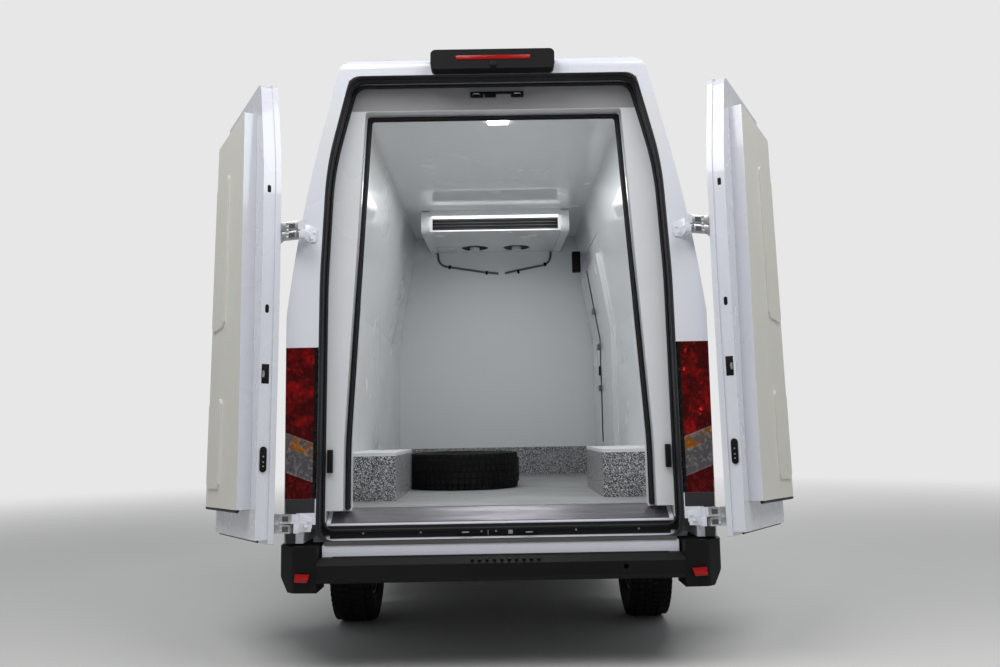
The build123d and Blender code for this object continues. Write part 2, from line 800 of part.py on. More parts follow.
with BuildPart() as grille:
    add(hull)
    block(
        (-grille_half_width, grille_half_width),
        (front_seam_y, reach_y),
        (bumper_top_z + seam, lamp_top_z - seam),
        Mode.INTERSECT,
    )
    add(bay_space, mode=Mode.SUBTRACT)
    for row in range(grille_slots):
        slot_z = bumper_top_z + 34 + row * grille_pitch
        for side in (-1, 1):
            across_slot = sorted((side * 70, side * (grille_half_width - 36)))
            block(across_slot, (front_seam_y, reach_y), (slot_z, slot_z + grille_slot), Mode.SUBTRACT)
save(grille, "grille")

with BuildPart() as headlamps:
    add(hull)
    block(
        (-reach_x, reach_x),
        (front_axle_y + 500 + seam, reach_y),
        (lamp_bottom_z - 10 + seam, lamp_top_z - seam),
        Mode.INTERSECT,
    )
    add(bay_space, mode=Mode.SUBTRACT)
    block((-grille_half_width - seam, grille_half_width + seam), (0, reach_y), (0, reach_z), Mode.SUBTRACT)
save(headlamps, "headlamps")

# Cab doors with their glass and mirrors
mirror_x = half_width + 135
mirror_y = (front_axle_y - 365, front_axle_y - 250)
mirror_z = 1560
mirror_width = 180
mirror_height = 400
for side, name in ((-1, "left"), (1, "right")):
    half = sorted((0, side * reach_x))
    with BuildPart() as cab_door:
        add(hull)
        side_prism(door_side_outline, half, Mode.INTERSECT)
        add(cab_space, mode=Mode.SUBTRACT)
        side_prism(window_side_outline, half, Mode.SUBTRACT)
        block((-925, 925), (0, front_end_y), (0, cab_floor_z + 5), Mode.SUBTRACT)
        across(0, front_axle_y, tyre_radius, arch_radius + 60, 2 * reach_x, Mode.SUBTRACT)
        for height in cab_hinge_heights:
            with Locations((side * cab_hinge_x, cab_hinge_y, height + cab_hinge_length / 2)):
                Cylinder(cab_hinge_radius, cab_hinge_length)
            block(
                sorted((side * (cab_hinge_x - 12), side * cab_hinge_x)),
                (door_front_y - 2, cab_hinge_y),
                (height, height + cab_hinge_length),
            )
    save(cab_door, f"cab_door_{name}")
    with BuildPart() as mirror_part:
        with BuildSketch(Plane.XZ.offset(-mirror_y[0])) as housing:
            with Locations((side * mirror_x, mirror_z)):
                RectangleRounded(mirror_width, mirror_height, 45)
        extrude(housing.sketch, amount=mirror_y[0] - mirror_y[1], taper=12)
        block(
            sorted((side * 940, side * (mirror_x - mirror_width / 2 + 30))),
            (mirror_y[0] + 20, mirror_y[0] + 62),
            (mirror_z - 190, mirror_z - 145),
        )
        add(hull.moved(Location((side * seam, 0, 0))), mode=Mode.SUBTRACT)
    save(mirror_part, f"mirror_{name}")
    with BuildPart() as door_glass:
        add(hull.moved(Location((-side * glass_inset, 0, 0))))
        side_prism(window_side_outline, half, Mode.INTERSECT)
        add(hull.moved(Location((-side * (glass_inset + glass_thickness), 0, 0))), mode=Mode.SUBTRACT)
    save(door_glass, f"door_glass_{name}")

# Cab floor and the chassis rails under the body
firewall_low_y = front_axle_y + 120
firewall_low_z = tyre_radius + arch_radius + 2
firewall_top_y = front_axle_y + 176


def firewall_y(z):
    """Where the firewall's rear face stands at a height."""
    rise = (z - firewall_low_z) / (firewall_top_z - firewall_low_z)
    return firewall_low_y + rise * (firewall_top_y - firewall_low_y)


with BuildPart() as underbody:
    block((-885, 885), (cab_back_y, door_front_y + 100), (cab_floor_z - 40, cab_floor_z - seam))
    for side in (-1, 1):
        block(
            sorted((side * rail_inner, side * rail_outer)),
            (cargo_rear_y, front_seam_y - 20),
            (rail_low_z, cab_floor_z - 40),
        )
        block(
            sorted((side * rail_inner, side * rail_outer)),
            (cargo_rear_y, cab_back_y),
            (cab_floor_z - 40, floor_z - floor_thickness - seam),
        )
    for y in crossmember_y:
        block((-rail_inner, rail_inner), (y - 40, y + 40), (floor_z - floor_thickness - 140, cab_floor_z - 45))
    for side in (-1, 1):
        across(side * (well_half_width + 300), front_axle_y, tyre_radius, arch_radius + 5, 600, Mode.SUBTRACT)
        liner_middle = side * (well_half_width + well_outer) / 2
        liner_length = well_outer - well_half_width
        across(liner_middle, front_axle_y, tyre_radius, arch_radius + liner_thickness, liner_length)
        across(liner_middle, front_axle_y, tyre_radius, arch_radius, liner_length, Mode.SUBTRACT)
        block(
            sorted((side * well_half_width, side * well_outer)),
            (front_axle_y - 500, front_axle_y + 500),
            (-200, cab_floor_z - 40),
            Mode.SUBTRACT,
        )
    side_prism(
        [
            (front_axle_y + 100, cab_floor_z - 40),
            (front_axle_y + 135, cab_floor_z - 40),
            (front_axle_y + 205, firewall_top_z),
            (firewall_top_y, firewall_top_z),
        ],
        (-500, 500),
    )
    block((-rail_outer, rail_outer), (door_front_y + 90, front_axle_y + 130), (cab_floor_z - 40, cab_floor_z - seam))
    side_prism(
        [
            (firewall_low_y, firewall_low_z),
            (firewall_low_y + 35, firewall_low_z),
            (front_axle_y + 205, firewall_top_z),
            (firewall_top_y, firewall_top_z),
        ],
        (-860, 860),
    )
    for y in (hitch_y - hitch_spacing / 2, hitch_y + hitch_spacing / 2):
        across(0, y, hitch_z, hitch_hole_radius, 2 * rail_outer + 10, Mode.SUBTRACT)
save(underbody, "underbody")

# Rear doors: made closed, then swung open about their hinge axis
hinge_direction = rear_plane.y_dir
for side, name in ((-1, "left"), (1, "right")):
    beyond = (-side * reach_x, side * meeting_gap / 2)
    hinge_axis = Axis(rear_plane.from_local_coords((side * hinge_x, 0, hinge_back)), hinge_direction)
    with BuildPart() as rear_door:
        with BuildSketch(rear_plane.offset(-door_skin)):
            with BuildLine():
                door_face(frame_inset, frame_low_z, door_high_z - frame_inset)
            make_face()
        extrude(amount=door_skin - door_depth)
        block(sorted((-side * reach_x, side * (meeting_gap / 2 + meeting_setback))), (-reach_y, 0), (0, reach_z), Mode.SUBTRACT)
        with BuildSketch(rear_plane):
            with BuildLine():
                door_face()
            make_face()
        extrude(amount=-door_skin)
        block(sorted(beyond), (-reach_y, 0), (0, reach_z), Mode.SUBTRACT)
        for height in hinge_heights:
            with BuildSketch(hinge_plane(height + 1)) as arm:
                with BuildLine():
                    Polyline(
                        (side * arm_foot[0], 0),
                        (side * arm_foot[0], -arm_foot_lift - 8),
                        (side * (arm_foot[1] - 12), -arm_foot_lift - 8),
                        (side * (hinge_x - 6), -hinge_back - 9),
                        (side * (hinge_x + 8), -hinge_back + 6),
                        (side * arm_foot[1], -arm_foot_lift),
                        (side * (arm_foot[0] + 15), -arm_foot_lift),
                        (side * (arm_foot[0] + 15), 0),
                        close=True,
                    )
                make_face()
                with Locations((side * hinge_x, -hinge_back)):
                    Circle(hinge_radius)
            extrude(arm.sketch, amount=hinge_height / 2)
    rear_door.part = rear_door.part.rotate(hinge_axis, side * door_open_angle)
    save(rear_door, f"rear_door_{name}")
    with BuildPart() as door_liner:
        with BuildSketch(rear_plane.offset(-door_depth)):
            with BuildLine():
                liner_face(liner_margin, liner_low_z, liner_high_z)
            make_face()
        extrude(amount=door_depth - liner_depth)
        block(sorted((-side * reach_x, side * liner_setback)), (-reach_y, 0), (0, reach_z), Mode.SUBTRACT)
        for low, high in liner_pads:
            with BuildSketch(rear_plane.offset(-liner_depth)) as pad:
                with Locations((side * (liner_setback + 160), (up_rear(low) + up_rear(high)) / 2)):
                    Rectangle(260, high - low)
                chamfer(pad.vertices(), 25)
            extrude(pad.sketch, amount=-liner_pad_height)
    door_liner.part = door_liner.part.rotate(hinge_axis, side * door_open_angle)
    save(door_liner, f"door_liner_{name}")

with BuildPart() as tail_lamps:
    add(hull)
    block(
        (-reach_x, reach_x),
        (rear_end_y, rear_face_y + lamp_depth - seam),
        (lamp_low_z + seam, lamp_high_z - seam),
        Mode.INTERSECT,
    )
    block((-lamp_inner, lamp_inner), (-reach_y, 0), (0, reach_z), Mode.SUBTRACT)
save(tail_lamps, "tail_lamps")

with BuildPart() as brake_light:
    with BuildSketch(rear_plane.offset(60)):
        with Locations((0, up_rear(brake_light_z))):
            RectangleRounded(592, brake_light_height, 24)
    extrude(amount=-100)
    add(hull.moved(Location((0, -seam, seam))), mode=Mode.SUBTRACT)
save(brake_light, "brake_light")

with BuildPart() as evaporator:
    evaporator_top = ceiling_z - seam
    side_prism(
        [
            (evaporator_y[0] + 6, evaporator_low_z[0] + 6),
            (evaporator_y[1], evaporator_low_z[1] + 6),
            (evaporator_y[1], evaporator_top),
            (evaporator_y[0] + 6, evaporator_top),
        ],
        (-evaporator_half_width + evaporator_cap, evaporator_half_width - evaporator_cap),
    )
    for row in range(4):
        slat_z = evaporator_low_z[0] + 16 + row * 22
        block((-445, 445), (evaporator_y[0], evaporator_y[0] + 45), (slat_z, slat_z + 15), Mode.SUBTRACT)
    for x in (-165, 165):
        with Locations((x, evaporator_y[1] - 190, evaporator_low_z[1])):
            Cylinder(105, 60, mode=Mode.SUBTRACT)
            Cylinder(38, 60)
    for side in (-1, 1):
        with BuildSketch(Plane.YZ.offset(side * (evaporator_half_width - evaporator_cap))) as cap:
            with BuildLine():
                FilletPolyline(
                    (evaporator_y[0], evaporator_low_z[0]),
                    (evaporator_y[1], evaporator_low_z[1]),
                    (evaporator_y[1], evaporator_top),
                    (evaporator_y[0], evaporator_top),
                    radius=[45, 1, 1, 30],
                    close=True,
                )
            make_face()
        extrude(cap.sketch, amount=side * evaporator_cap)
save(evaporator, "evaporator")

# Drain hoses of the evaporator, held flat on the bulkhead
with BuildPart() as drain_hoses:
    hose_y = cargo_front_y - hose_radius - seam
    for start_x, end_x in ((-470, 18), (446, 74)):
        with BuildLine() as route:
            FilletPolyline(
                (start_x, hose_y, evaporator_low_z[1] - 2),
                (start_x * 0.98, hose_y, 2376),
                (start_x * 0.22 + end_x * 0.3, hose_y, 2316),
                (end_x, hose_y, 2303),
                radius=[hose_bend, 500],
            )
        with BuildSketch(Plane(origin=route.line @ 0, z_dir=route.line % 0)):
            RegularPolygon(hose_radius, 8)
        sweep()
save(drain_hoses, "drain_hoses")

condenser_y = cab_back_y - 360
condenser_top_z = roof_height + 150
with BuildPart() as condenser:
    with BuildSketch(Plane.XY.offset(roof_height - 72)):
        with Locations((0, condenser_y)):
            RectangleRounded(1200, 920, 130)
    extrude(amount=condenser_top_z - roof_height + 72, taper=12)
    for x in (-250, 250):
        with Locations((x, condenser_y, condenser_top_z)):
            Cylinder(170, 40, mode=Mode.SUBTRACT)
            Cylinder(60, 40)
    add(hull.moved(Location((0, 0, seam))), mode=Mode.SUBTRACT)
save(condenser, "condenser")

with BuildPart() as seats:
    for x0, x1 in ((-680, -200), (-120, 680)):
        side_prism([(520, 760), (1060, 780), (1060, 900), (600, 890), (470, 1520), (370, 1520), (450, 800)], (x0, x1))
        block((x0 + 60, x1 - 60), (560, 1000), (cab_floor_z, 770))
        places = round((x1 - x0) / 440)
        for place in range(places):
            middle = x0 + (place + 0.5) * (x1 - x0) / places
            side_prism([(380, 1490), (455, 1490), (440, 1700), (375, 1690)], (middle - 125, middle + 125))
save(seats, "seats")

with BuildPart() as dashboard:
    side_prism(
        [
            (1500, 850),
            (1690, 830),
            (1760, 980),
            (firewall_y(1000) - seam, 1000),
            (firewall_y(1275) - seam, 1275),
            (1700, 1330),
            (1480, 1180),
        ],
        (-855, 855),
    )
    column = Plane(origin=(-430, 1290, 1190), z_dir=(0, -0.9, 0.75))
    with BuildSketch(column):
        Circle(200)
        Circle(175, mode=Mode.SUBTRACT)
        Rectangle(360, 50)
    extrude(amount=25)
    with BuildSketch(column):
        Circle(35)
    extrude(amount=-400)
save(dashboard, "dashboard")

subframe_top_z = 330
gearbox_rear_y = front_axle_y - 840
exhaust_x = 310
exhaust_z = 436
with BuildPart() as engine:
    block((-330, 330), (front_axle_y + 215, front_axle_y + 780), (subframe_top_z + seam, 1000))
    block((-150, 150), (gearbox_rear_y, front_axle_y + 220), (350, 510))
save(engine, "engine")

with BuildPart() as prop_shaft:
    shaft_front = Vector(0, gearbox_rear_y - 1.5, 430)
    shaft_rear = Vector(0, rear_axle_y + 130.5, tyre_radius + 2)
    with BuildSketch(Plane(origin=shaft_rear, z_dir=shaft_front - shaft_rear)):
        Circle(32)
    extrude(amount=(shaft_front - shaft_rear).length)
save(prop_shaft, "prop_shaft")

with BuildPart() as exhaust:
    for y0, y1, radius in ((-2560, 1400, 28), (-200, 400, 78)):
        with BuildSketch(Plane.XZ.offset(-y0)) as pipe:
            with Locations((exhaust_x, exhaust_z)):
                Circle(radius)
        extrude(pipe.sketch, amount=y0 - y1)
    for y in (-2200, -800, 1000):
        block((exhaust_x - 10, rail_inner - seam), (y - 10, y + 10), (exhaust_z, rail_low_z + 15))
save(exhaust, "exhaust")

with BuildPart() as fuel_tank:
    block((-850, -rail_outer - seam), (-750, 300), (385, 600))
    fillet(fuel_tank.edges().filter_by(Axis.Y), 50)
save(fuel_tank, "fuel_tank")

with BuildPart() as front_subframe:
    block((-420, 420), (front_axle_y - 150, front_axle_y + 400), (250, subframe_top_z))
    for side in (-1, 1):
        kingpin_x = side * (front_track / 2 - kingpin_offset)
        for arm_x, arm_z, arm_height in ((rail_inner, 255, 40), (rail_outer + seam, post_top + seam, 30)):
            with BuildSketch(Plane.XY.offset(arm_z)):
                with BuildLine():
                    Polyline(
                        (side * arm_x, front_axle_y - 60),
                        (kingpin_x - side * 75, front_axle_y - 60),
                        (kingpin_x, front_axle_y - post_radius),
                        (kingpin_x, front_axle_y + post_radius),
                        (kingpin_x - side * 75, front_axle_y + 60),
                        (side * arm_x, front_axle_y + 60),
                        close=True,
                    )
                make_face()
            extrude(amount=arm_height)
        block(sorted((side * rail_inner, side * rail_outer)), (front_axle_y - 60, front_axle_y + 60), (290, rail_low_z))
save(front_subframe, "front_subframe")

for side, name in ((-1, "left"), (1, "right")):
    kingpin_x = side * (front_track / 2 - kingpin_offset)
    with BuildPart() as knuckle:
        with Locations((kingpin_x, front_axle_y, (post_low + post_top) / 2)):
            Cylinder(post_radius, post_top - post_low)
        hub_in = kingpin_x - side * 20
        hub_out = side * (front_track / 2 + disc_offset - seam)
        across((hub_in + hub_out) / 2, front_axle_y, tyre_radius, 40, abs(hub_out - hub_in))
        block(sorted((kingpin_x, kingpin_x - side * 25)), (front_axle_y - 140, front_axle_y), (310, 345))
    save(knuckle, f"knuckle_{name}")

hub_reach = rear_track / 2 + disc_offset - seam
with BuildPart() as rear_axle:
    with BuildSketch(Plane.XY.offset(tyre_radius)):
        with BuildLine():
            Polyline(
                (-hub_reach, rear_axle_y),
                (-hub_reach, rear_axle_y + 45),
                (-150, rear_axle_y + 45),
                (-90, rear_axle_y + 130),
                (90, rear_axle_y + 130),
                (150, rear_axle_y + 45),
                (hub_reach, rear_axle_y + 45),
                (hub_reach, rear_axle_y),
                close=True,
            )
        make_face()
    revolve(axis=Axis((0, rear_axle_y, tyre_radius), (1, 0, 0)))
    for side in (-1, 1):
        side_prism(
            [
                (rear_axle_y - 650, 470),
                (rear_axle_y, 385),
                (rear_axle_y + 650, 470),
                (rear_axle_y + 650, 479.7),
                (rear_axle_y, 415),
                (rear_axle_y - 650, 479.7),
            ],
            sorted((side * 405, side * 465)),
        )
save(rear_axle, "rear_axle")


def tyre(plane, radius, width, mode=Mode.ADD):
    """A tyre round the plane's own X axis."""
    with BuildSketch(plane) as section:
        with BuildLine():
            Polyline(
                (-width / 2 + 17, rim_radius),
                (width / 2 - 17, rim_radius),
                (width / 2, (rim_radius + radius) / 2),
                (width / 2 - 22, radius),
                (-width / 2 + 22, radius),
                (-width / 2, (rim_radius + radius) / 2),
                close=True,
            )
        make_face()
    revolve(section.sketch, axis=Axis(plane.origin, plane.x_dir), mode=mode)


def rim(plane, mode=Mode.ADD):
    """A steel wheel round the plane's own X axis, its vented disc towards positive X."""
    with BuildSketch(plane) as section:
        with BuildLine():
            Polyline(
                (-85, rim_radius - seam),
                (-85, rim_radius - 12),
                (disc_offset, rim_radius - 15),
                (disc_offset, 0),
                (disc_offset + 16, 0),
                (disc_offset + 16, 80),
                (disc_offset + 40, 125),
                (disc_offset + 22, rim_radius - 15),
                (85, rim_radius - 12),
                (85, rim_radius - seam),
                close=True,
            )
        make_face()
    revolve(section.sketch, axis=Axis(plane.origin, plane.x_dir), mode=mode)
    with BuildSketch(Plane(origin=plane.origin, x_dir=plane.z_dir, z_dir=plane.x_dir)) as vents:
        with PolarLocations(155, 8):
            Rectangle(22, 40)
    extrude(vents.sketch, amount=90, mode=Mode.SUBTRACT)


for axle, track, y in (("front", front_track, front_axle_y), ("rear", rear_track, rear_axle_y)):
    for side, name in ((-1, "left"), (1, "right")):
        hub = Plane(origin=(side * track / 2, y, tyre_radius), x_dir=(side, 0, 0), z_dir=(0, 1, 0))
        with BuildPart() as tyre_part:
            tyre(hub, tyre_radius, tyre_width)
        save(tyre_part, f"tyre_{axle}_{name}")
        with BuildPart() as rim_part:
            rim(hub)
        save(rim_part, f"rim_{axle}_{name}")

flat_wheel = Plane(origin=(spare_x, spare_y, floor_z + tyre_width / 2 + seam), x_dir=(0, 0, 1), z_dir=(0, 1, 0))
with BuildPart() as spare_wheel:
    tyre(flat_wheel, tyre_radius, tyre_width)
    rim(flat_wheel)
save(spare_wheel, "spare_wheel")
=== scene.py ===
import json
import math

import bmesh
import bpy
from mathutils import Matrix, Vector
from mathutils.bvhtree import BVHTree


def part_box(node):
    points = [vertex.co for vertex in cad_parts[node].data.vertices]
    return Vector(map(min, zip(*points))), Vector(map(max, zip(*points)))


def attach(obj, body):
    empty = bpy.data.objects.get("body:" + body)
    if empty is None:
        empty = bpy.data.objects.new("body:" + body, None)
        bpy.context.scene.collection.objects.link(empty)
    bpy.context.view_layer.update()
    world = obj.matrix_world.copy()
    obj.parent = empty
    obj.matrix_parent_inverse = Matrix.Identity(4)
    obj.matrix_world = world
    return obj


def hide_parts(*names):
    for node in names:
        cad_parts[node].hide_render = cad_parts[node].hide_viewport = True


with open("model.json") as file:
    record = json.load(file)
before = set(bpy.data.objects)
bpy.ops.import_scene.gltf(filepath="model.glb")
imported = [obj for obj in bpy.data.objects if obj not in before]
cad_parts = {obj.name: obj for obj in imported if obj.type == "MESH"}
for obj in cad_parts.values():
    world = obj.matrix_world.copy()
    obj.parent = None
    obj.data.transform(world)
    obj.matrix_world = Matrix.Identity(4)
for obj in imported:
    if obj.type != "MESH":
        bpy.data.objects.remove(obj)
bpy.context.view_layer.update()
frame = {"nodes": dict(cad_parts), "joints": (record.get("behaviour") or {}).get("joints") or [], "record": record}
nodes = frame["nodes"]
joints = {joint["name"]: joint for joint in frame["joints"]}
bothSides = ((-1, "Left"), (1, "Right"))
print("frame loaded:", len(nodes), "nodes")

# The photograph's frame in pixels and where it was taken from, in metres and degrees
view = {"width": 1000, "focalPixels": 850, "place": (0.0, -6.6, 1.042), "turnRight": 0.2, "tiltUp": 6.48, "roll": 1.0}

light = {
    "worldStrength": 0.3, "worldColor": (0.86, 0.87, 0.9), "backdropColor": (0.8, 0.8, 0.8),
    "floorColor": (0.62, 0.62, 0.61), "floorSize": 40, "fadeRange": (3.0, 13.0),
    # (name, size x, size y, power, place, looks at)
    "lamps": [
        ("key", 4.5, 3.0, 225, (-2.6, -4.9, 6.3), (0, -2.0, 1.2)),
        ("fill", 4.5, 3.0, 170, (3.2, -4.7, 5.9), (0, -2.0, 1.2)),
        ("front", 6.0, 5.0, 330, (1.5, 8.0, 5.5), (0, 1.0, 1.0)),
        ("inside", 0.9, 2.0, 16, (0, -1.35, 2.56), (0, -1.35, 0)),
    ],
}

# The leaning rear face, in metres and degrees; corners of the doorway's and of the liner ledge's edge are
# (half width, height, half the length of its bend)
rear = {
    "faceY": -2.765, "lean": 0.05, "floorZ": 0.69, "openAngle": 240, "hingeHeights": (0.649, 1.967),
    "doorCorners": ((0.811, 0.0, 0.0), (0.811, 1.75, 0.084), (0.788, 2.3, 0.144), (0.682, 2.745, 0.0)),
    "linerCorners": ((0.811, 0.0, 0.0), (0.811, 1.000, 0.082), (0.723, 2.6, 0.0)),
}
leanLength = math.hypot(1, rear["lean"])
rearUp = Vector((0, rear["lean"], 1)) / leanLength
rearOut = Vector((0, -1, rear["lean"])) / leanLength
rearFrame = Matrix.Translation((0, rear["faceY"], rear["floorZ"])) @ Matrix(
    ((1, 0, 0, 0), (0, rearUp.y, rearOut.y, 0), (0, rearUp.z, rearOut.z, 0), (0, 0, 0, 1))
)


# The way up the leaning rear face to a height
def faceUp(z):
    return (z - rear["floorZ"]) * leanLength


# A point by its X, its height and its distance outward from the leaning rear face
def rearPoint(x, z, out=0.0):
    return rearFrame @ Vector((x, faceUp(z), out))


# A place, turned by degrees about one of its axes
def at(point, degrees=0.0, axis="X"):
    return Matrix.Translation(point) @ Matrix.Rotation(math.radians(degrees), 4, axis)


# The rear face's frame as it rides on a door that stands open at rest
def openDoor(side):
    joint = joints["rear_door_right_hinge" if side > 0 else "rear_door_left_hinge"]
    place = Vector(joint["pos_m"])
    turn = Matrix.Rotation(math.radians(side * rear["openAngle"]), 4, rearUp)
    return Matrix.Translation(place) @ turn @ Matrix.Translation(-place) @ rearFrame


# Numbers and colours are set on a node's inputs, and other sockets are linked to them
def feed(tree, node, inputs):
    for key, value in inputs.items():
        if isinstance(value, bpy.types.NodeSocket):
            tree.links.new(value, node.inputs[key])
        else:
            node.inputs[key].default_value = value
    return node.outputs


# A new shader node with its inputs and settings; gives its outputs
def addNode(tree, kind, inputs, **settings):
    node = tree.nodes.new("ShaderNode" + kind)
    for key, value in settings.items():
        setattr(node, key, value)
    return feed(tree, node, inputs)


def newMaterial(name):
    material = bpy.data.materials.new(name)
    material.use_nodes = True
    tree = material.node_tree
    return material, tree, tree.nodes["Principled BSDF"], addNode(tree, "TexCoord", {})["Object"]


# A noise factor; stretch squeezes it along X, Y and Z
def noise(tree, coords, scale, detail=3.0, stretch=None):
    if stretch:
        coords = addNode(tree, "Mapping", {"Vector": coords, "Scale": stretch})["Vector"]
    return addNode(tree, "TexNoise", {"Vector": coords, "Scale": scale, "Detail": detail})["Fac"]


# A value mapped from low..high to the two numbers in out, and held there
def ramp(tree, value, low, high, out=(0.0, 1.0)):
    inputs = {"Value": value, "From Min": low, "From Max": high, "To Min": out[0], "To Max": out[1]}
    return addNode(tree, "MapRange", inputs)["Result"]


# A math node on two sockets or numbers
def math2(tree, kind, first, second):
    return addNode(tree, "Math", {0: first, 1: second}, operation=kind)[0]


def product(tree, masks):
    total = masks[0]
    for mask in masks[1:]:
        total = math2(tree, "MULTIPLY", total, mask)
    return total


# Two colours, or sockets, mixed by a factor
def mixColor(tree, factor, first, second):
    first, second = ((*value, 1) if isinstance(value, tuple) else value for value in (first, second))
    return addNode(tree, "Mix", {0: factor, 6: first, 7: second}, data_type="RGBA")[2]


# Plain steps of colour along a value, as (from, colour)
def colorSteps(tree, value, stops):
    node = tree.nodes.new("ShaderNodeValToRGB")
    node.color_ramp.interpolation = "CONSTANT"
    for i, (place, color) in enumerate(stops):
        stop = node.color_ramp.elements[i] if i < 2 else node.color_ramp.elements.new(place)
        stop.position = place
        stop.color = (*color, 1)
    return feed(tree, node, {0: value})[0]


# 0 below low and 1 above high along one axis; the axis may be |X|
def axisMask(tree, coords, axis, low, high):
    value = addNode(tree, "SeparateXYZ", {0: coords})["XYZ".index(axis[-1])]
    if axis[0] == "|":
        value = math2(tree, "ABSOLUTE", value, 0.0)
    return ramp(tree, value, low, high)


def bump(tree, height, strength, distance):
    return addNode(tree, "Bump", {"Strength": strength, "Distance": distance, "Height": height})["Normal"]


# One finish: colour, a second colour in blotches, roughness range and, where it has them, coat and grain
def finish(name, color, rough, second=None, metallic=0.0, specular=0.5, coat=0.0, sheen=0.0, alpha=1.0,
           blotchScale=3.0, stretch=None, grain=0.0, grainScale=1.0, grainStretch=None, grainDepth=0.0004):
    material, tree, shader, coords = newMaterial(name)
    blotch = noise(tree, coords, blotchScale, 4.0, stretch)
    feed(tree, shader, {
        "Base Color": mixColor(tree, ramp(tree, blotch, 0.35, 0.7), color, second or color),
        "Roughness": ramp(tree, blotch, 0.3, 0.7, rough), "Metallic": metallic, "Specular IOR Level": specular,
        "Coat Weight": coat, "Coat Roughness": 0.05, "Sheen Weight": sheen, "Alpha": alpha,
    })
    if grain:
        height = noise(tree, coords, grainScale, 2.0, grainStretch)
        feed(tree, shader, {"Normal": bump(tree, height, grain, grainDepth)})
    return material


looks = {
    "white_paint": dict(color=(0.76, 0.78, 0.84), second=(0.73, 0.75, 0.81), rough=(0.22, 0.32), coat=0.7, grain=0.05,
        grainScale=240.0),
    "white_lining": dict(color=(0.8, 0.82, 0.83), second=(0.75, 0.77, 0.79), rough=(0.14, 0.3), coat=0.4, grain=0.1,
        grainScale=60.0, grainDepth=0.001),
    "cream_lining": dict(color=(0.78, 0.77, 0.71), second=(0.74, 0.73, 0.67), rough=(0.3, 0.42), grain=0.1,
        grainScale=150.0),
    "grey_floor": dict(color=(0.3, 0.31, 0.31), second=(0.23, 0.24, 0.24), rough=(0.5, 0.68), blotchScale=2.0,
        grain=0.55, grainScale=700.0, grainDepth=0.0012),
    "black_plastic": dict(color=(0.0035, 0.0035, 0.004), second=(0.0065, 0.0065, 0.007), rough=(0.48, 0.62),
        specular=0.18, grain=0.35, grainScale=900.0),
    "bare_aluminium": dict(color=(0.22, 0.21, 0.23), second=(0.13, 0.13, 0.14), rough=(0.26, 0.42), metallic=1.0,
        stretch=(1.0, 9.0, 9.0), grain=0.1, grainScale=500.0, grainStretch=(0.03, 1.0, 1.0)),
    "seat_fabric": dict(color=(0.035, 0.036, 0.04), second=(0.055, 0.056, 0.062), rough=(0.85, 0.95), sheen=0.3,
        grain=0.6, grainScale=900.0),
    "chassis_paint": dict(color=(0.02, 0.02, 0.021), second=(0.045, 0.042, 0.038), rough=(0.45, 0.75),
        blotchScale=6.0, grain=0.3, grainScale=220.0),
    "engine_metal": dict(color=(0.16, 0.155, 0.15), second=(0.09, 0.085, 0.08), rough=(0.5, 0.8), metallic=0.6,
        blotchScale=9.0, grain=0.5, grainScale=320.0),
    "tyre_rubber": dict(color=(0.005, 0.005, 0.005), second=(0.01, 0.0095, 0.009), rough=(0.66, 0.84), specular=0.2,
        blotchScale=8.0, grain=0.3, grainScale=600.0),
    "steel_wheel": dict(color=(0.3, 0.31, 0.32), second=(0.24, 0.25, 0.26), rough=(0.32, 0.48), metallic=0.75,
        grain=0.12, grainScale=400.0),
    "seal_rubber": dict(color=(0.009, 0.009, 0.011), second=(0.014, 0.014, 0.016), rough=(0.5, 0.64), specular=0.3,
        grain=0.25, grainScale=800.0),
    "lip_rubber": dict(color=(0.03, 0.03, 0.033), second=(0.045, 0.045, 0.048), rough=(0.5, 0.64), specular=0.3),
    "grey_hose": dict(color=(0.13, 0.14, 0.16), second=(0.1, 0.11, 0.13), rough=(0.35, 0.5), grain=0.2,
        grainScale=500.0),
    "lamp_lens": dict(color=(0.7, 0.73, 0.76), second=(0.62, 0.65, 0.68), rough=(0.03, 0.06), coat=1.0, alpha=0.28),
    "lamp_glass": dict(color=(0.6, 0.62, 0.65), second=(0.42, 0.44, 0.47), rough=(0.04, 0.1), coat=1.0, metallic=0.6),
    "amber_lens": dict(color=(0.75, 0.22, 0.01), second=(0.62, 0.15, 0.005), rough=(0.1, 0.2), coat=1.0, grain=0.5,
        grainScale=200.0, grainDepth=0.001),
    "red_lens": dict(color=(0.4, 0.003, 0.002), second=(0.28, 0.002, 0.002), rough=(0.14, 0.24), coat=0.15,
        specular=0.25, grain=0.6, grainScale=160.0, grainDepth=0.002),
    "chrome_look": dict(color=(0.8, 0.8, 0.81), second=(0.72, 0.72, 0.74), rough=(0.05, 0.12), metallic=1.0),
    "mirror_glass": dict(color=(0.86, 0.88, 0.89), rough=(0.015, 0.03), metallic=1.0),
    "strip_grey": dict(color=(0.095, 0.092, 0.085), second=(0.075, 0.073, 0.07), rough=(0.45, 0.6)),
    "plate_blank": dict(color=(0.74, 0.74, 0.72), second=(0.7, 0.7, 0.68), rough=(0.35, 0.45)),
    "zinc": dict(color=(0.66, 0.67, 0.68), second=(0.5, 0.5, 0.5), rough=(0.26, 0.42), metallic=1.0, blotchScale=30.0,
        grain=0.12, grainScale=400.0),
    "dark_zinc": dict(color=(0.16, 0.16, 0.17), second=(0.1, 0.1, 0.11), rough=(0.35, 0.5), metallic=0.8),
    "glass": dict(color=(0.05, 0.07, 0.07), second=(0.04, 0.06, 0.06), rough=(0.03, 0.06), coat=1.0, alpha=0.42),
}
materials = {name: finish(name, **look) for name, look in looks.items()}

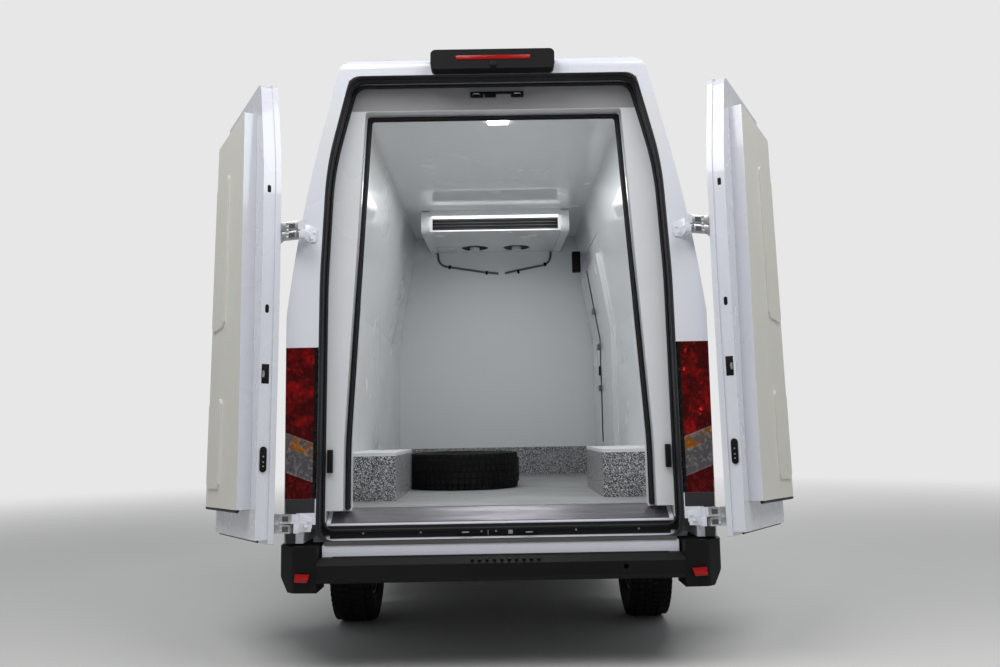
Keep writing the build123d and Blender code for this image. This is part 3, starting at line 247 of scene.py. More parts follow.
# Where the walls' finish changes, as (axis, none here, all here)
walls = {
    "paint": (("|X", 0.8, 0.806), ("Z", 2.62, 2.64)),
    # The beam over the opening is greyed as painted shade, the shade under the roof's edge
    "beam": (("Z", 2.603, 2.606), ("Z", 2.735, 2.73), ("Y", -2.566, -2.569), ("|X", 0.7, 0.69)),
    "beamColor": (0.33, 0.325, 0.335),
    "foot": (("Y", -2.435, -2.437), ("Z", 0.7525, 0.7515), ("|X", 0.8215, 0.8225)),
    "footEnds": (("|X", 0.903, 0.905), ("Z", 0.69, 0.692)),
    "footColor": (0.02, 0.02, 0.022),
}


# One finish for walls that show outside as paint and inside as glossy lining, with painted shade that greys the beam
# over the opening
def liningPaintAndBeamShade():
    material, tree, shader, coords = newMaterial("paint_over_lining")
    masks = {key: [axisMask(tree, coords, *edge) for edge in walls[key]]
             for key in ("paint", "beam", "foot", "footEnds")}
    lining = looks["white_lining"]
    sheen = noise(tree, coords, 1.6, 3.0)
    color = mixColor(tree, ramp(tree, sheen, 0.35, 0.7), lining["color"], lining["second"])
    color = mixColor(tree, math2(tree, "MAXIMUM", *masks["paint"]), color, looks["white_paint"]["color"])
    # Painted shade: the beam over the opening turns grey
    color = mixColor(tree, product(tree, masks["beam"]), color, walls["beamColor"])
    foot = product(tree, [*masks["foot"], math2(tree, "MAXIMUM", *masks["footEnds"])])
    feed(tree, shader, {
        "Base Color": mixColor(tree, foot, color, walls["footColor"]),
        "Roughness": ramp(tree, sheen, 0.3, 0.7, (0.16, 0.3)), "Coat Weight": 0.6,
        "Normal": bump(tree, noise(tree, coords, 60.0, 2.0), 0.06, 0.001),
    })
    return material


# Flecks of the speckled band and boxes, as (from, grey), and the height they end at
speckles = {
    "scale": 290.0, "flecks": ((0.0, 0.02), (0.3, 0.12), (0.56, 0.34), (0.76, 0.74)), "bandTop": 0.905,
    "boxTop": 0.918,
}


# Black, grey and white flecks up to a height, plain white lining above it
def speckled(name, top):
    material, tree, shader, coords = newMaterial(name)
    cells = addNode(tree, "TexVoronoi", {"Scale": speckles["scale"], "Vector": coords})["Color"]
    pick = addNode(tree, "SeparateXYZ", {0: cells})[0]
    flecks = colorSteps(tree, pick, [(start, (grey, grey, grey * 1.03)) for start, grey in speckles["flecks"]])
    mask = axisMask(tree, coords, "Z", top - 0.001, top + 0.001)
    feed(tree, shader, {
        "Base Color": mixColor(tree, mask, flecks, looks["white_lining"]["color"]), "Roughness": 0.34,
        "Normal": bump(tree, noise(tree, coords, 260.0, 2.0), 0.15, 0.0008),
    })
    return material


# Tail lamps: bands are (from height, colour); the heights hold at the rim and fall toward the middle by slant
tailLamp = {
    "low": 0.7, "high": 1.45, "rim": 0.834, "slant": 0.38, "slantFrom": 0.832, "facetScale": 85.0,
    "facetTilt": 0.55, "facetStretch": (1.0, 0.3, 0.75), "rimColor": (0.01, 0.01, 0.011),
    "bulbScale": 17.0, "bulbEdges": ((0.934, 0.938), (0.991, 0.987)), "bulbColor": (0.46, 0.16, 0.025),
    # Brighter red patches from about 1 m up are a painted highlight, light caught in the reflectors
    "glowScale": 13.0, "glowFrom": (0.999, 1.004), "glowColor": (0.42, 0.004, 0.004),
    "bands": [(0.7, (0.115, 0.0006, 0.0008)), (0.822, (0.24, 0.23, 0.23)), (0.827, (0.17, 0.16, 0.165)),
              (0.93, (0.26, 0.25, 0.25)), (0.934, (0.2, 0.17, 0.155)), (0.992, (0.3, 0.24, 0.23)),
              (0.997, (0.105, 0.0006, 0.0008))],
}


# Red with facets and patches of painted highlight above, a slanted chamber with amber bulbs, a clear one below it and
# red at the foot
def tailLens():
    material, tree, shader, coords = newMaterial("tail_lens")
    low, high, slant = (tailLamp[key] for key in ("low", "high", "slant"))
    parts = addNode(tree, "SeparateXYZ", {0: coords})
    across = math2(tree, "MULTIPLY", math2(tree, "ABSOLUTE", parts[0], 0.0), -slant)
    height = math2(tree, "ADD", math2(tree, "ADD", parts[2], across), slant * tailLamp["slantFrom"])
    bands = [((level - low) / (high - low), color) for level, color in tailLamp["bands"]]
    color = colorSteps(tree, ramp(tree, height, low, high), bands)
    bulbs = ramp(tree, noise(tree, coords, tailLamp["bulbScale"], 2.0), 0.44, 0.54)
    bulbs = product(tree, [bulbs, *(ramp(tree, height, *edge) for edge in tailLamp["bulbEdges"])])
    color = mixColor(tree, bulbs, color, tailLamp["bulbColor"])
    # Painted highlight: brighter red patches in the upper red
    paintedHighlight = ramp(tree, noise(tree, coords, tailLamp["glowScale"], 3.0), 0.5, 0.68)
    paintedHighlight = product(tree, [paintedHighlight, ramp(tree, height, *tailLamp["glowFrom"])])
    color = mixColor(tree, paintedHighlight, color, tailLamp["glowColor"])
    rim = axisMask(tree, coords, "|X", tailLamp["rim"] + 0.001, tailLamp["rim"])
    turned = {"Vector": coords, "Scale": tailLamp["facetStretch"], "Rotation": (0.0, 0.6, 0.0)}
    mapped = addNode(tree, "Mapping", turned)["Vector"]
    cells = addNode(tree, "TexVoronoi", {"Scale": tailLamp["facetScale"], "Vector": mapped})["Color"]
    tilt = addNode(tree, "VectorMath", {0: cells, 1: (0.5, 0.5, 0.5)}, operation="SUBTRACT")[0]
    tilt = addNode(tree, "VectorMath", {0: tilt, "Scale": tailLamp["facetTilt"]}, operation="SCALE")[0]
    normal = addNode(tree, "NewGeometry", {})["Normal"]
    tilted = addNode(tree, "VectorMath", {0: normal, 1: tilt}, operation="ADD")[0]
    feed(tree, shader, {
        "Base Color": mixColor(tree, rim, color, tailLamp["rimColor"]), "Coat Normal": normal,
        "Normal": addNode(tree, "VectorMath", {0: tilted}, operation="NORMALIZE")[0],
        "Metallic": 0.85, "Roughness": 0.13, "Coat Weight": 0.22,
    })
    return material


# The windscreen's black border, where it is glued: (axis, none here, all here)
screenBorder = {"edges": (("Z", 2.125, 2.131), ("Z", 1.425, 1.419), ("|X", 0.69, 0.696)),
                "color": (0.008, 0.008, 0.008)}


def screenGlass():
    look = looks["glass"]
    material = finish("screen_glass", **look)
    tree = material.node_tree
    coords = addNode(tree, "TexCoord", {})["Object"]
    border, *others = (axisMask(tree, coords, *edge) for edge in screenBorder["edges"])
    for other in others:
        border = math2(tree, "MAXIMUM", border, other)
    feed(tree, tree.nodes["Principled BSDF"], {
        "Alpha": ramp(tree, border, 0.0, 1.0, (look["alpha"], 1.0)),
        "Base Color": mixColor(tree, border, look["color"], screenBorder["color"]),
    })
    return material


# The lit lens of the ceiling lamp
def lampGlow():
    material, tree, shader, _ = newMaterial("lamp_glow")
    feed(tree, shader, {"Base Color": (0.9, 0.92, 0.95, 1), "Emission Color": (0.95, 0.98, 1.0, 1),
                        "Emission Strength": 9.0})
    return material


materials.update({
    "tail_lens": tailLens(), "lamp_glow": lampGlow(), "screen_glass": screenGlass(), "walls": liningPaintAndBeamShade(),
    "bulkhead_band": speckled("bulkhead_band", speckles["bandTop"]),
    "box_speckle": speckled("box_speckle", speckles["boxTop"]),
})
slotOf = {part["node"]: part["material_slot"] for part in frame["record"]["subparts"]}
special = {"side_left": "walls", "side_right": "walls", "sliding_door": "walls", "roof": "walls",
           "bulkhead": "bulkhead_band", "arch_boxes": "box_speckle", "windscreen": "screen_glass"}
for nodeName, node in nodes.items():
    node.data.materials.clear()
    node.data.materials.append(materials[special.get(nodeName, slotOf[nodeName])])
print("finishes set")


# Rays that see the backdrop's own colour
def seenRays(tree):
    rays = addNode(tree, "LightPath", {})
    return math2(tree, "MAXIMUM", rays["Is Camera Ray"], rays["Is Transmission Ray"])


# The floor keeps its shadow near the vehicle and goes over to the backdrop's colour further out
def stageFloorFinish():
    material = finish("stage_floor", light["floorColor"], (0.7, 0.8))
    tree = material.node_tree
    coords = addNode(tree, "TexCoord", {})["Object"]
    distance = addNode(tree, "VectorMath", {0: coords}, operation="LENGTH")["Value"]
    near, far = light["fadeRange"]
    fade = addNode(tree, "MapRange", {"Value": distance, "From Min": near, "From Max": far},
                   interpolation_type="SMOOTHSTEP")["Result"]
    plain = addNode(tree, "Emission", {"Color": (*light["backdropColor"], 1)})[0]
    factor = math2(tree, "MULTIPLY", fade, seenRays(tree))
    pick = addNode(tree, "MixShader", {0: factor, 1: tree.nodes["Principled BSDF"].outputs[0], 2: plain})[0]
    feed(tree, tree.nodes["Material Output"], {"Surface": pick})
    return material


# A pale floor, the world and soft lamps; none of it is part of the object
def makeStage():
    scene = bpy.context.scene
    bm = bmesh.new()
    bmesh.ops.create_grid(bm, x_segments=1, y_segments=1, size=light["floorSize"])
    mesh = bpy.data.meshes.new("stageFloor")
    bm.to_mesh(mesh)
    bm.free()
    mesh.materials.append(stageFloorFinish())
    floor = bpy.data.objects.new("stageFloor", mesh)
    scene.collection.objects.link(floor)
    scene.world = bpy.data.worlds.new("studio")
    scene.world.use_nodes = True
    tree = scene.world.node_tree
    lit = feed(tree, tree.nodes["Background"],
               {"Color": (*light["worldColor"], 1), "Strength": light["worldStrength"]})
    backdrop = addNode(tree, "Background", {"Color": (*light["backdropColor"], 1)})
    pick = addNode(tree, "MixShader", {0: seenRays(tree), 1: lit[0], 2: backdrop[0]})[0]
    feed(tree, tree.nodes["World Output"], {"Surface": pick})
    for name, sizeX, sizeY, power, place, target in light["lamps"]:
        lamp = bpy.data.lights.new(name, "AREA")
        lamp.shape, lamp.size, lamp.size_y, lamp.energy = "RECTANGLE", sizeX, sizeY, power
        holder = bpy.data.objects.new(name, lamp)
        holder.location = place
        holder.rotation_euler = (Vector(target) - Vector(place)).to_track_quat("-Z", "Y").to_euler()
        scene.collection.objects.link(holder)


def makeCamera():
    tilt, roll, turned = (math.radians(view[key]) for key in ("tiltUp", "roll", "turnRight"))
    forward = Vector((math.sin(turned) * math.cos(tilt), math.cos(turned) * math.cos(tilt), math.sin(tilt)))
    level = Vector((math.cos(turned), -math.sin(turned), 0))
    above = level.cross(forward)
    right = math.cos(roll) * level - math.sin(roll) * above
    up = math.sin(roll) * level + math.cos(roll) * above
    data = bpy.data.cameras.new("camera")
    data.sensor_width = 36
    data.lens = data.sensor_width * view["focalPixels"] / view["width"]
    data.clip_start = 0.05
    camera = bpy.data.objects.new("camera", data)
    axes = Matrix((right, up, -forward)).transposed().to_4x4()
    camera.matrix_world = Matrix.Translation(view["place"]) @ axes
    bpy.context.scene.collection.objects.link(camera)
    bpy.context.scene.camera = camera


makeCamera()
makeStage()
bpy.context.scene.view_settings.view_transform = "Standard"
print("camera and stage ready")


# A box between two corners of its own frame
def addBox(bm, low, high, place=Matrix()):
    low, high = Vector(low), Vector(high)
    scale = Matrix.Diagonal((*(high - low), 1))
    bmesh.ops.create_cube(bm, size=1, matrix=place @ Matrix.Translation((low + high) / 2) @ scale)


# An outline of (u, v) points extruded from 0 to depth along its frame's third axis
def addPrism(bm, outline, depth, place=Matrix()):
    face = bm.faces.new([bm.verts.new(place @ Vector((u, v, 0))) for u, v in outline])
    grown = bmesh.ops.extrude_face_region(bm, geom=[face], use_keep_orig=True)["geom"]
    shift = place.to_3x3() @ Vector((0, 0, depth))
    bmesh.ops.translate(bm, vec=shift, verts=[part for part in grown if isinstance(part, bmesh.types.BMVert)])


# Rows of (radius, distance along) turned about the frame's third axis, closed to the axis or as a ring
def addTurned(bm, rows, place=Matrix(), sides=32, ring=False):
    before = set(bm.verts)
    rows = list(rows) if ring else [(0, rows[0][1]), *rows, (0, rows[-1][1])]
    verts = [bm.verts.new(place @ Vector((radius, 0, along))) for radius, along in rows]
    pairs = list(zip(verts, verts[1:])) + ([(verts[-1], verts[0])] if ring else [])
    edges = [bm.edges.new(pair) for pair in pairs]
    axis = (place.to_3x3() @ Vector((0, 0, 1))).normalized()
    bmesh.ops.spin(bm, geom=verts + edges, cent=place.translation, axis=axis, angle=2 * math.pi, steps=sides,
                   use_merge=True)
    bmesh.ops.remove_doubles(bm, verts=[vert for vert in bm.verts if vert not in before], dist=1e-6)


# A round bar along points
def addTube(bm, points, radius, sides=10, closed=False):
    points = [Vector(p) for p in points]
    last = len(points) - 1
    rings = []
    for i, point in enumerate(points):
        before = points[i - 1] if closed or i else point
        after = points[(i + 1) % len(points)] if closed or i < last else point
        turn = (after - before).to_track_quat("Z", "Y").to_matrix().to_4x4()
        made = bmesh.ops.create_circle(bm, segments=sides, radius=radius, cap_ends=not closed and i in (0, last),
                                       matrix=Matrix.Translation(point) @ turn)
        rings.append(list({edge for vert in made["verts"] for edge in vert.link_edges}))
    for one, two in list(zip(rings, rings[1:])) + ([(rings[-1], rings[0])] if closed else []):
        bmesh.ops.bridge_loops(bm, edges=one + two)


# Round guard: rings of thin bar, and spokes an eighth of a turn apart between two distances from the middle
def addGuard(bm, middle, radii, bar, steps, spokes, reach, spokeBar):
    def spot(distance, angle):
        return middle + distance * Vector((math.cos(angle), math.sin(angle), 0))

    for radius in radii:
        addTube(bm, [spot(radius, 2 * math.pi * i / steps) for i in range(steps)], bar, 6, True)
    for i in range(spokes):
        addTube(bm, [spot(distance, math.pi * i / 4) for distance in reach], spokeBar, 6)


# A mesh as an object that rides on a body
def addObject(name, mesh, body):
    piece = bpy.data.objects.new(name, mesh)
    bpy.context.scene.collection.objects.link(piece)
    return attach(piece, body)


# A finished bmesh as an object
def fromShape(name, bm, finishName, body, smooth):
    mesh = bpy.data.meshes.new(name)
    bm.to_mesh(mesh)
    bm.free()
    mesh.polygons.foreach_set("use_smooth", [smooth] * len(mesh.polygons))
    mesh.materials.append(materials[finishName])
    return addObject(name, mesh, body)


# Edges are bevelled and shaded sharp from these angles on, in radians
sharpFrom = {"bevel": 0.6, "shade": 0.7}


# One joined mesh on a body: build adds its shapes to a bmesh, given what else it needs
def makePiece(name, finishName, build, *given, body="root", bevel=0.0, smooth=False):
    bm = bmesh.new()
    build(bm, *given)
    bmesh.ops.recalc_face_normals(bm, faces=bm.faces)
    if bevel:
        sharp = [edge for edge in bm.edges
                 if len(edge.link_faces) == 2 and edge.calc_face_angle() > sharpFrom["bevel"]]
        bmesh.ops.bevel(bm, geom=sharp, offset=bevel, offset_type="OFFSET", segments=2, profile=0.5,
                        affect="EDGES", clamp_overlap=True, material=-1)
    smooth = smooth or bevel > 0
    piece = fromShape(name, bm, finishName, body, smooth)
    if smooth:
        piece.data.set_sharp_from_angle(angle=sharpFrom["shade"])
    return piece


# Half the width inside an edge's corners at a height; each bend is eased
def edgeWidth(corners, z):
    for (x0, z0, _), (x1, z1, _) in zip(corners, corners[1:]):
        if z <= z1 or (x1, z1) == corners[-1][:2]:
            width = x0 + (x1 - x0) * (z - z0) / (z1 - z0)
            break
    for (x0, z0, _), (x, bendZ, reach), (x1, z1, _) in zip(corners, corners[1:], corners[2:]):
        if abs(z - bendZ) < reach:
            slopeIn, slopeOut = (x - x0) / (bendZ - z0), (x1 - x) / (z1 - bendZ)
            width = x + slopeIn * (z - bendZ) + (slopeOut - slopeIn) * (z - bendZ + reach) ** 2 / (4 * reach)
    return width


# Rings on the rear face: inset from their edge, lowest and highest point, corner radius, distance out of the face
seals = {
    "cornerSteps": 6, "clear": 0.02, "pitch": 0.06, "outerBar": 0.0078, "innerBar": 0.0085,
    "outer": {"inset": 0.0095, "low": 0.607, "high": 2.7315, "corner": 0.05, "out": -0.0815},
    "inner": {"inset": 0.1105, "low": 0.68, "high": 2.5925, "corner": 0.016, "out": -0.1445},
    # The seal's lip lines the doorway's first step, as a closed band of (inset, distance out)
    "reveal": {"low": 0.562, "high": 2.745, "corner": 0.06},
    "revealRows": [(-0.0064, -0.0008), (-0.0064, -0.0313), (0.0016, -0.0313), (0.0016, -0.072), (0.0026, -0.072),
                   (0.0026, -0.0303), (-0.0054, -0.0303), (-0.0054, -0.0008)],
}


# Points of a closed ring, moved inward from an edge; it starts low on the right
def doorwayRing(corners, inset, low, high, corner, out):
    turns = [math.radians(90 * i / seals["cornerSteps"]) for i in range(seals["cornerSteps"] + 1)]
    foot = edgeWidth(corners, low) - inset
    right = [(foot - corner * (1 - math.sin(a)), low + corner * (1 - math.cos(a))) for a in turns]
    z = low + corner + seals["clear"]
    while z < high - corner - seals["clear"]:
        right.append((edgeWidth(corners, z) - inset, z))
        z += seals["pitch"]
    for a in turns:
        z = high - corner * (1 - math.sin(a))
        right.append((edgeWidth(corners, z) - inset - corner * (1 - math.cos(a)), z))
    return [rearPoint(x, z, out) for x, z in right + [(-x, z) for x, z in reversed(right)]]


def revealShape(bm):
    low, high, corner = (seals["reveal"][key] for key in ("low", "high", "corner"))
    rings = []
    for inset, out in seals["revealRows"]:
        points = doorwayRing(rear["doorCorners"], inset, low + inset, high - inset, corner - inset, out)
        rings.append([bm.verts.new(point) for point in points])
    for one, two in zip(rings, rings[1:] + rings[:1]):
        for i in range(len(one)):
            bm.faces.new((one[i - 1], one[i], two[i], two[i - 1]))


outerRing = doorwayRing(rear["doorCorners"], **seals["outer"])
# The inner seal runs up one side, over the top and down the other, and ends on the floor
innerPath = doorwayRing(rear["linerCorners"], **seals["inner"])[seals["cornerSteps"]:-seals["cornerSteps"]]
makePiece("outerSealBulb", "seal_rubber", addTube, outerRing, seals["outerBar"], 12, True, smooth=True)
makePiece("revealBand", "lip_rubber", revealShape, smooth=True)
makePiece("innerSealBulb", "seal_rubber", addTube, innerPath, seals["innerBar"], 12, smooth=True)
print("seals made")

# Rear hinges, on each hinge's own level: silver cover plates with recessed middles, pillar plates with bolts
hinge = {
    "axisX": 0.883, "axisOut": 0.078, "lowest": -0.041, "ringX": 0.826, "ringOut": 0.0285, "ringPitch": 0.0168,
    # Cover plates: (from, to, the two points of the outline's end)
    "bars": ((0.0, 0.042, (0.875, 0.0884), (0.887, 0.0704)), (-0.041, -0.004, (0.855, 0.0704), (0.867, 0.0524))),
    "foot": [(0.815, 0.0045), (0.811, 0.001), (0.738, 0.001), (0.738, 0.0165), (0.799, 0.0165)],
    "recesses": [[(0.84, 0.027), (0.862, 0.047), (0.8625, 0.0465), (0.8405, 0.0265)],
                 [(0.838, 0.0545), (0.852, 0.068), (0.8515, 0.0685), (0.8375, 0.055)]],
    "recessLevels": ((0.01, 0.032), (-0.034, -0.012)),
    "plate": [(0.832, -0.03), (0.842, -0.036), (0.892, -0.058), (0.9, -0.048), (0.9, 0.04), (0.888, 0.048),
              (0.842, 0.03), (0.832, 0.02)],
    "bolts": ((0.846, 0.006), (0.858, -0.024)), "lowSquash": 0.8,
}


# Outlines of (across, out) that grow upward from a level on a door
def addRising(bm, side, outline, low, high):
    place = openDoor(side) @ Matrix(((side, 0, 0, 0), (0, 0, 1, low), (0, 1, 0, 0), (0, 0, 0, 1)))
    addPrism(bm, outline, high - low, place)


# Both bars of both hinges on one door, drawn closed and then swung open
def hingePlates(bm, side):
    for level in map(faceUp, rear["hingeHeights"]):
        for low, high, *end in hinge["bars"]:
            addRising(bm, side, end + hinge["foot"], level + low, level + high)
        for i in range(5):
            spot = (side * hinge["ringX"], level + hinge["lowest"] + i * hinge["ringPitch"], hinge["ringOut"])
            addTurned(bm, [(0.0115, 0), (0.013, 0.0015), (0.013, 0.0125), (0.0115, 0.014)],
                      openDoor(side) @ at(spot, -90), 16)


# Painted shade: darker panels put in the bars' recessed middles, on the face towards the rear, stand in for the shade
# there
def hingeRecessShade(bm, side):
    for level in map(faceUp, rear["hingeHeights"]):
        for low, high in hinge["recessLevels"]:
            for outline in hinge["recesses"]:
                addRising(bm, side, outline, level + low, level + high)


# The plates that bolt each hinge to its pillar, their barrels, and two bolts on each
def pillarPlates(bm, side):
    for level, squash in zip(map(faceUp, rear["hingeHeights"]), (hinge["lowSquash"], 1)):
        flat = Matrix(((side, 0, 0, 0), (0, 1, 0, level), (0, 0, 1, 0), (0, 0, 0, 1)))
        addPrism(bm, [(u, v * squash) for u, v in hinge["plate"]], 0.004, rearFrame @ flat)
        barrel = at((side * hinge["axisX"], level + hinge["lowest"], hinge["axisOut"]), -90)
        addTurned(bm, [(0.01, 0), (0.0135, 0.002), (0.0135, 0.0385), (0.01, 0.04)], rearFrame @ barrel, 20)
        for u, v in hinge["bolts"]:
            addTurned(bm, [(0.0075, 0), (0.0075, 0.004), (0.006, 0.0055)],
                      rearFrame @ at((side * u, level + v * squash, 0.004)), 6)


for side, name in bothSides:
    door = f"rear_door_{name.lower()}"
    makePiece(f"hingePlates{name}", "zinc", hingePlates, side, body=door, bevel=0.0012)
    makePiece(f"hingeRecessShade{name}", "dark_zinc", hingeRecessShade, side, body=door)
    makePiece(f"pillarPlates{name}", "white_paint", pillarPlates, side, bevel=0.001)
print("hinges made")

# What shows on the doors' hinge edges, as (height, half height, half width), and on their inner faces
doorEdge = {
    "depth": 0.054, "inset": 0.0085, "relief": 0.0012, "connectorRelief": 0.006,
    "slots": ((2.17, 0.02, 0.0085), (1.602, 0.02, 0.0085)), "latchHole": (1.306, 0.044, 0.017),
    "connector": (0.928, 0.056, 0.015), "pins": (-0.03, -0.012, 0.012),
    "catch": [(-0.014, -0.016), (-0.006, -0.016), (-0.003, 0.0), (-0.006, 0.014), (-0.014, 0.014)],
    "linerHeights": (0.7115, 2.5955), "linerInsets": (0.1053, 0.1042), "linerBack": -0.1394, "linerWidth": 0.059,
    # The liner's black gasket along its free edge and its bottom, and the door's own: (ends, depth, radius)
    "gaskets": [(((0.055, 2.585), (0.055, 0.715)), 0.132, 0.0075), (((0.055, 0.705), (0.695, 0.705)), 0.132, 0.0085),
                (((0.03, 0.574), (0.776, 0.574)), 0.06, 0.0045)],
}


# An outline with half-round ends, taller than it is wide
def roundedBar(halfHeight, halfWidth, steps=8):
    points = []
    for direction, start in ((1, 0), (-1, 180)):
        for i in range(steps + 1):
            a = math.radians(start + 180 * i / steps)
            points.append((halfWidth * math.cos(a), direction * (halfHeight - halfWidth) + halfWidth * math.sin(a)))
    return points


# A frame on the side face of the door's inner frame: first axis inward, second up, third towards the hinge
def edgePlace(side, z):
    x = side * (edgeWidth(rear["doorCorners"], z) - doorEdge["inset"])
    local = Matrix(((0, 0, side, x), (0, 1, 0, faceUp(z)), (1, 0, 0, -doorEdge["depth"]), (0, 0, 0, 1)))
    return openDoor(side) @ local


# Thin black pads for the slots and the latch hole are painted shade of these openings; the connector is a black part
def doorEdgeShadeAndBlacks(bm, side):
    for z, *halves in doorEdge["slots"]:
        addPrism(bm, roundedBar(*halves), doorEdge["relief"], edgePlace(side, z))
    z, high, wide = doorEdge["latchHole"]
    addBox(bm, (-wide, -high, 0), (wide, high, doorEdge["relief"]), edgePlace(side, z))
    z, *halves = doorEdge["connector"]
    addPrism(bm, roundedBar(*halves), doorEdge["connectorRelief"], edgePlace(side, z))


def doorEdgeMetal(bm, side):
    addPrism(bm, doorEdge["catch"], 0.004, edgePlace(side, doorEdge["latchHole"][0]))
    for offset in doorEdge["pins"]:
        addTurned(bm, [(0.003, 0), (0.003, 0.0075), (0.002, 0.0085)],
                  edgePlace(side, doorEdge["connector"][0]) @ at((0, offset, 0)), 12)


# White facing on the liner's edge towards the hinges
def linerFacing(bm, side):
    low, high = doorEdge["linerHeights"]
    heights = [low + (high - low) * i / 24 for i in range(25)]
    inner, outer = ([(side * (edgeWidth(rear["linerCorners"], z) - inset), faceUp(z)) for z in heights]
                    for inset in doorEdge["linerInsets"])
    addPrism(bm, inner + outer[::-1], doorEdge["linerWidth"], openDoor(side) @ at((0, 0, doorEdge["linerBack"])))


def doorGasket(bm, side):
    for ends, depth, radius in doorEdge["gaskets"]:
        addTube(bm, [openDoor(side) @ Vector((side * x, faceUp(z), -depth)) for x, z in ends], radius, 8)


for side, name in bothSides:
    door = f"rear_door_{name.lower()}"
    makePiece(f"doorEdgeShadeAndBlacks{name}", "black_plastic", doorEdgeShadeAndBlacks, side, body=door, bevel=0.0006)
    makePiece(f"doorEdgeMetal{name}", "zinc", doorEdgeMetal, side, body=door)
    makePiece(f"linerFacing{name}", "white_paint", linerFacing, side, body=door)
    makePiece(f"doorGasket{name}", "seal_rubber", doorGasket, side, body=door, smooth=True)
print("door edges made")

# Cooling unit inside: louvres, fans with guards, hose clips as (x, z, slope), and the ceiling lamp
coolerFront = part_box("evaporator")[0].y
cooler = {
    "lowZ": 2.44, "pitch": 0.022,
    # Dark spaces, blades in them and black faces on the bars between: (name, finish, rows, half length, y, z)
    "louvres": [
        ("louvreSpaces", "black_plastic", 4, 0.4447, (coolerFront + 0.006, coolerFront + 0.04), (0.0163, 0.0307)),
        ("louvreBlades", "dark_zinc", 4, 0.4446, (coolerFront + 0.0035, coolerFront + 0.0062), (0.0225, 0.0241)),
        ("louvreBars", "black_plastic", 3, 0.4446, (-0.6948, -0.693), (0.0304, 0.0386)),
    ],
    "fans": ((-0.165, 0.0097, 2.4775), (0.165, 0.0097, 2.4775)), "disc": [(0.1045, 0.003), (0.1045, 0.023)],
    "guard": {"radii": (0.04, 0.06, 0.08, 0.1), "bar": 0.0012, "steps": 40, "spokes": 4, "reach": (-0.102, 0.102),
              "spokeBar": 0.0014},
    "clips": [(-0.375, 2.3595, -0.285), (-0.076, 2.3085, -0.19), (0.399, 2.3705, 0.36), (0.181, 2.3125, 0.24)],
    "clipY": 0.1915, "clip": ((-0.009, -0.0105, -0.0125), (0.009, 0.0083, 0.0165)),
    "lamp": ((-0.028, -2.465, 2.5905), (0.074, -2.405, 2.5995)),
}


def louvreRows(bm, rows, half, y, z):
    for row in range(rows):
        level = cooler["lowZ"] + row * cooler["pitch"]
        addBox(bm, (-half, y[0], level + z[0]), (half, y[1], level + z[1]))


def fanDiscs(bm):
    for fan in cooler["fans"]:
        addTurned(bm, cooler["disc"], at(fan), 40)


def fanGuards(bm, unit):
    for fan in unit["fans"]:
        addGuard(bm, Vector(fan), **unit["guard"])


def hoseClips(bm):
    for x, z, slope in cooler["clips"]:
        addBox(bm, *cooler["clip"], at((x, cooler["clipY"], z), -math.degrees(math.atan(slope)), "Y"))


for name, finishName, *sizes in cooler["louvres"]:
    makePiece(name, finishName, louvreRows, *sizes)
makePiece("fanDiscs", "black_plastic", fanDiscs)
makePiece("fanGuards", "dark_zinc", fanGuards, cooler, smooth=True)
makePiece("hoseClips", "black_plastic", hoseClips, bevel=0.002)
makePiece("ceilingLamp", "lamp_glow", addBox, *cooler["lamp"], bevel=0.003)
print("cooling unit made")

# Fittings of the doorway; boxes are limits on X, height and distance out of the rear face
fittings = {
    "face": -0.0895, "screws": (-0.62, -0.36, 0.342, 0.626, -0.085, -0.02), "screwZ": 0.594,
    # Strikers at the top, the plate on the sill and contact blocks on the jambs
    "plates": [((-0.111, -0.048), (2.672, 2.698), (-0.0895, -0.0775)),
               ((-0.041, 0.014), (2.672, 2.698), (-0.0895, -0.0775)),
               ((0.089, 0.149), (2.672, 2.698), (-0.0895, -0.0775)),
               ((-0.051, 0.089), (2.69, 2.7), (-0.0895, -0.0815)),
               ((-0.198, 0.171), (0.575, 0.611), (-0.0895, -0.0865)),
               ((-0.785, -0.761), (0.865, 0.969), (-0.0895, -0.0675)),
               ((0.761, 0.785), (0.865, 0.969), (-0.0895, -0.0675))],
    "loops": ((-0.081, 2.682), (0.119, 2.682), (-0.157, 0.592), (0.13, 0.588)),
    "loop": ((-0.016, 0), (-0.016, 0.02), (-0.012, 0.025), (0.012, 0.025), (0.016, 0.02), (0.016, 0)),
    "catches": [((0.036, 0.056), (0.581, 0.598), (-0.0875, -0.083)),
                ((-0.057, -0.054), (0.579, 0.606), (-0.0875, -0.0815))],
    # White edge of the aluminium plate and the corner pieces where the inner seal meets the floor
    "trims": [((-0.766, 0.766), (0.6275, 0.6345), (-0.0905, -0.0845)),
              ((-0.712, -0.684), (0.691, 0.704), (-0.185, -0.156)),
              ((0.684, 0.712), (0.691, 0.704), (-0.185, -0.156))],
    # The dark band across the sill that the doors close on, and the grey strip below it
    "band": ((-0.77, 0.77), (0.572, 0.6275), (-0.0902, -0.0885)),
    "strip": ((-0.776, 0.776), (0.5495, 0.5655), (-0.0005, 0.0012)),
}


def rearBoxes(bm, *boxes):
    for x, z, out in boxes:
        addBox(bm, *zip(x, map(faceUp, z), out), rearFrame)


def strikerLoops(bm):
    for x, z in fittings["loops"]:
        addTube(bm, [rearPoint(x + u, z, fittings["face"] + out) for u, out in fittings["loop"]], 0.0032, 8)
    rearBoxes(bm, *fittings["catches"])
    for x in fittings["screws"]:
        addTurned(bm, [(0.0065, 0), (0.0065, 0.002), (0.0045, 0.0035)],
                  rearFrame @ at((x, faceUp(fittings["screwZ"]), fittings["face"] + 0.0005)), 16)


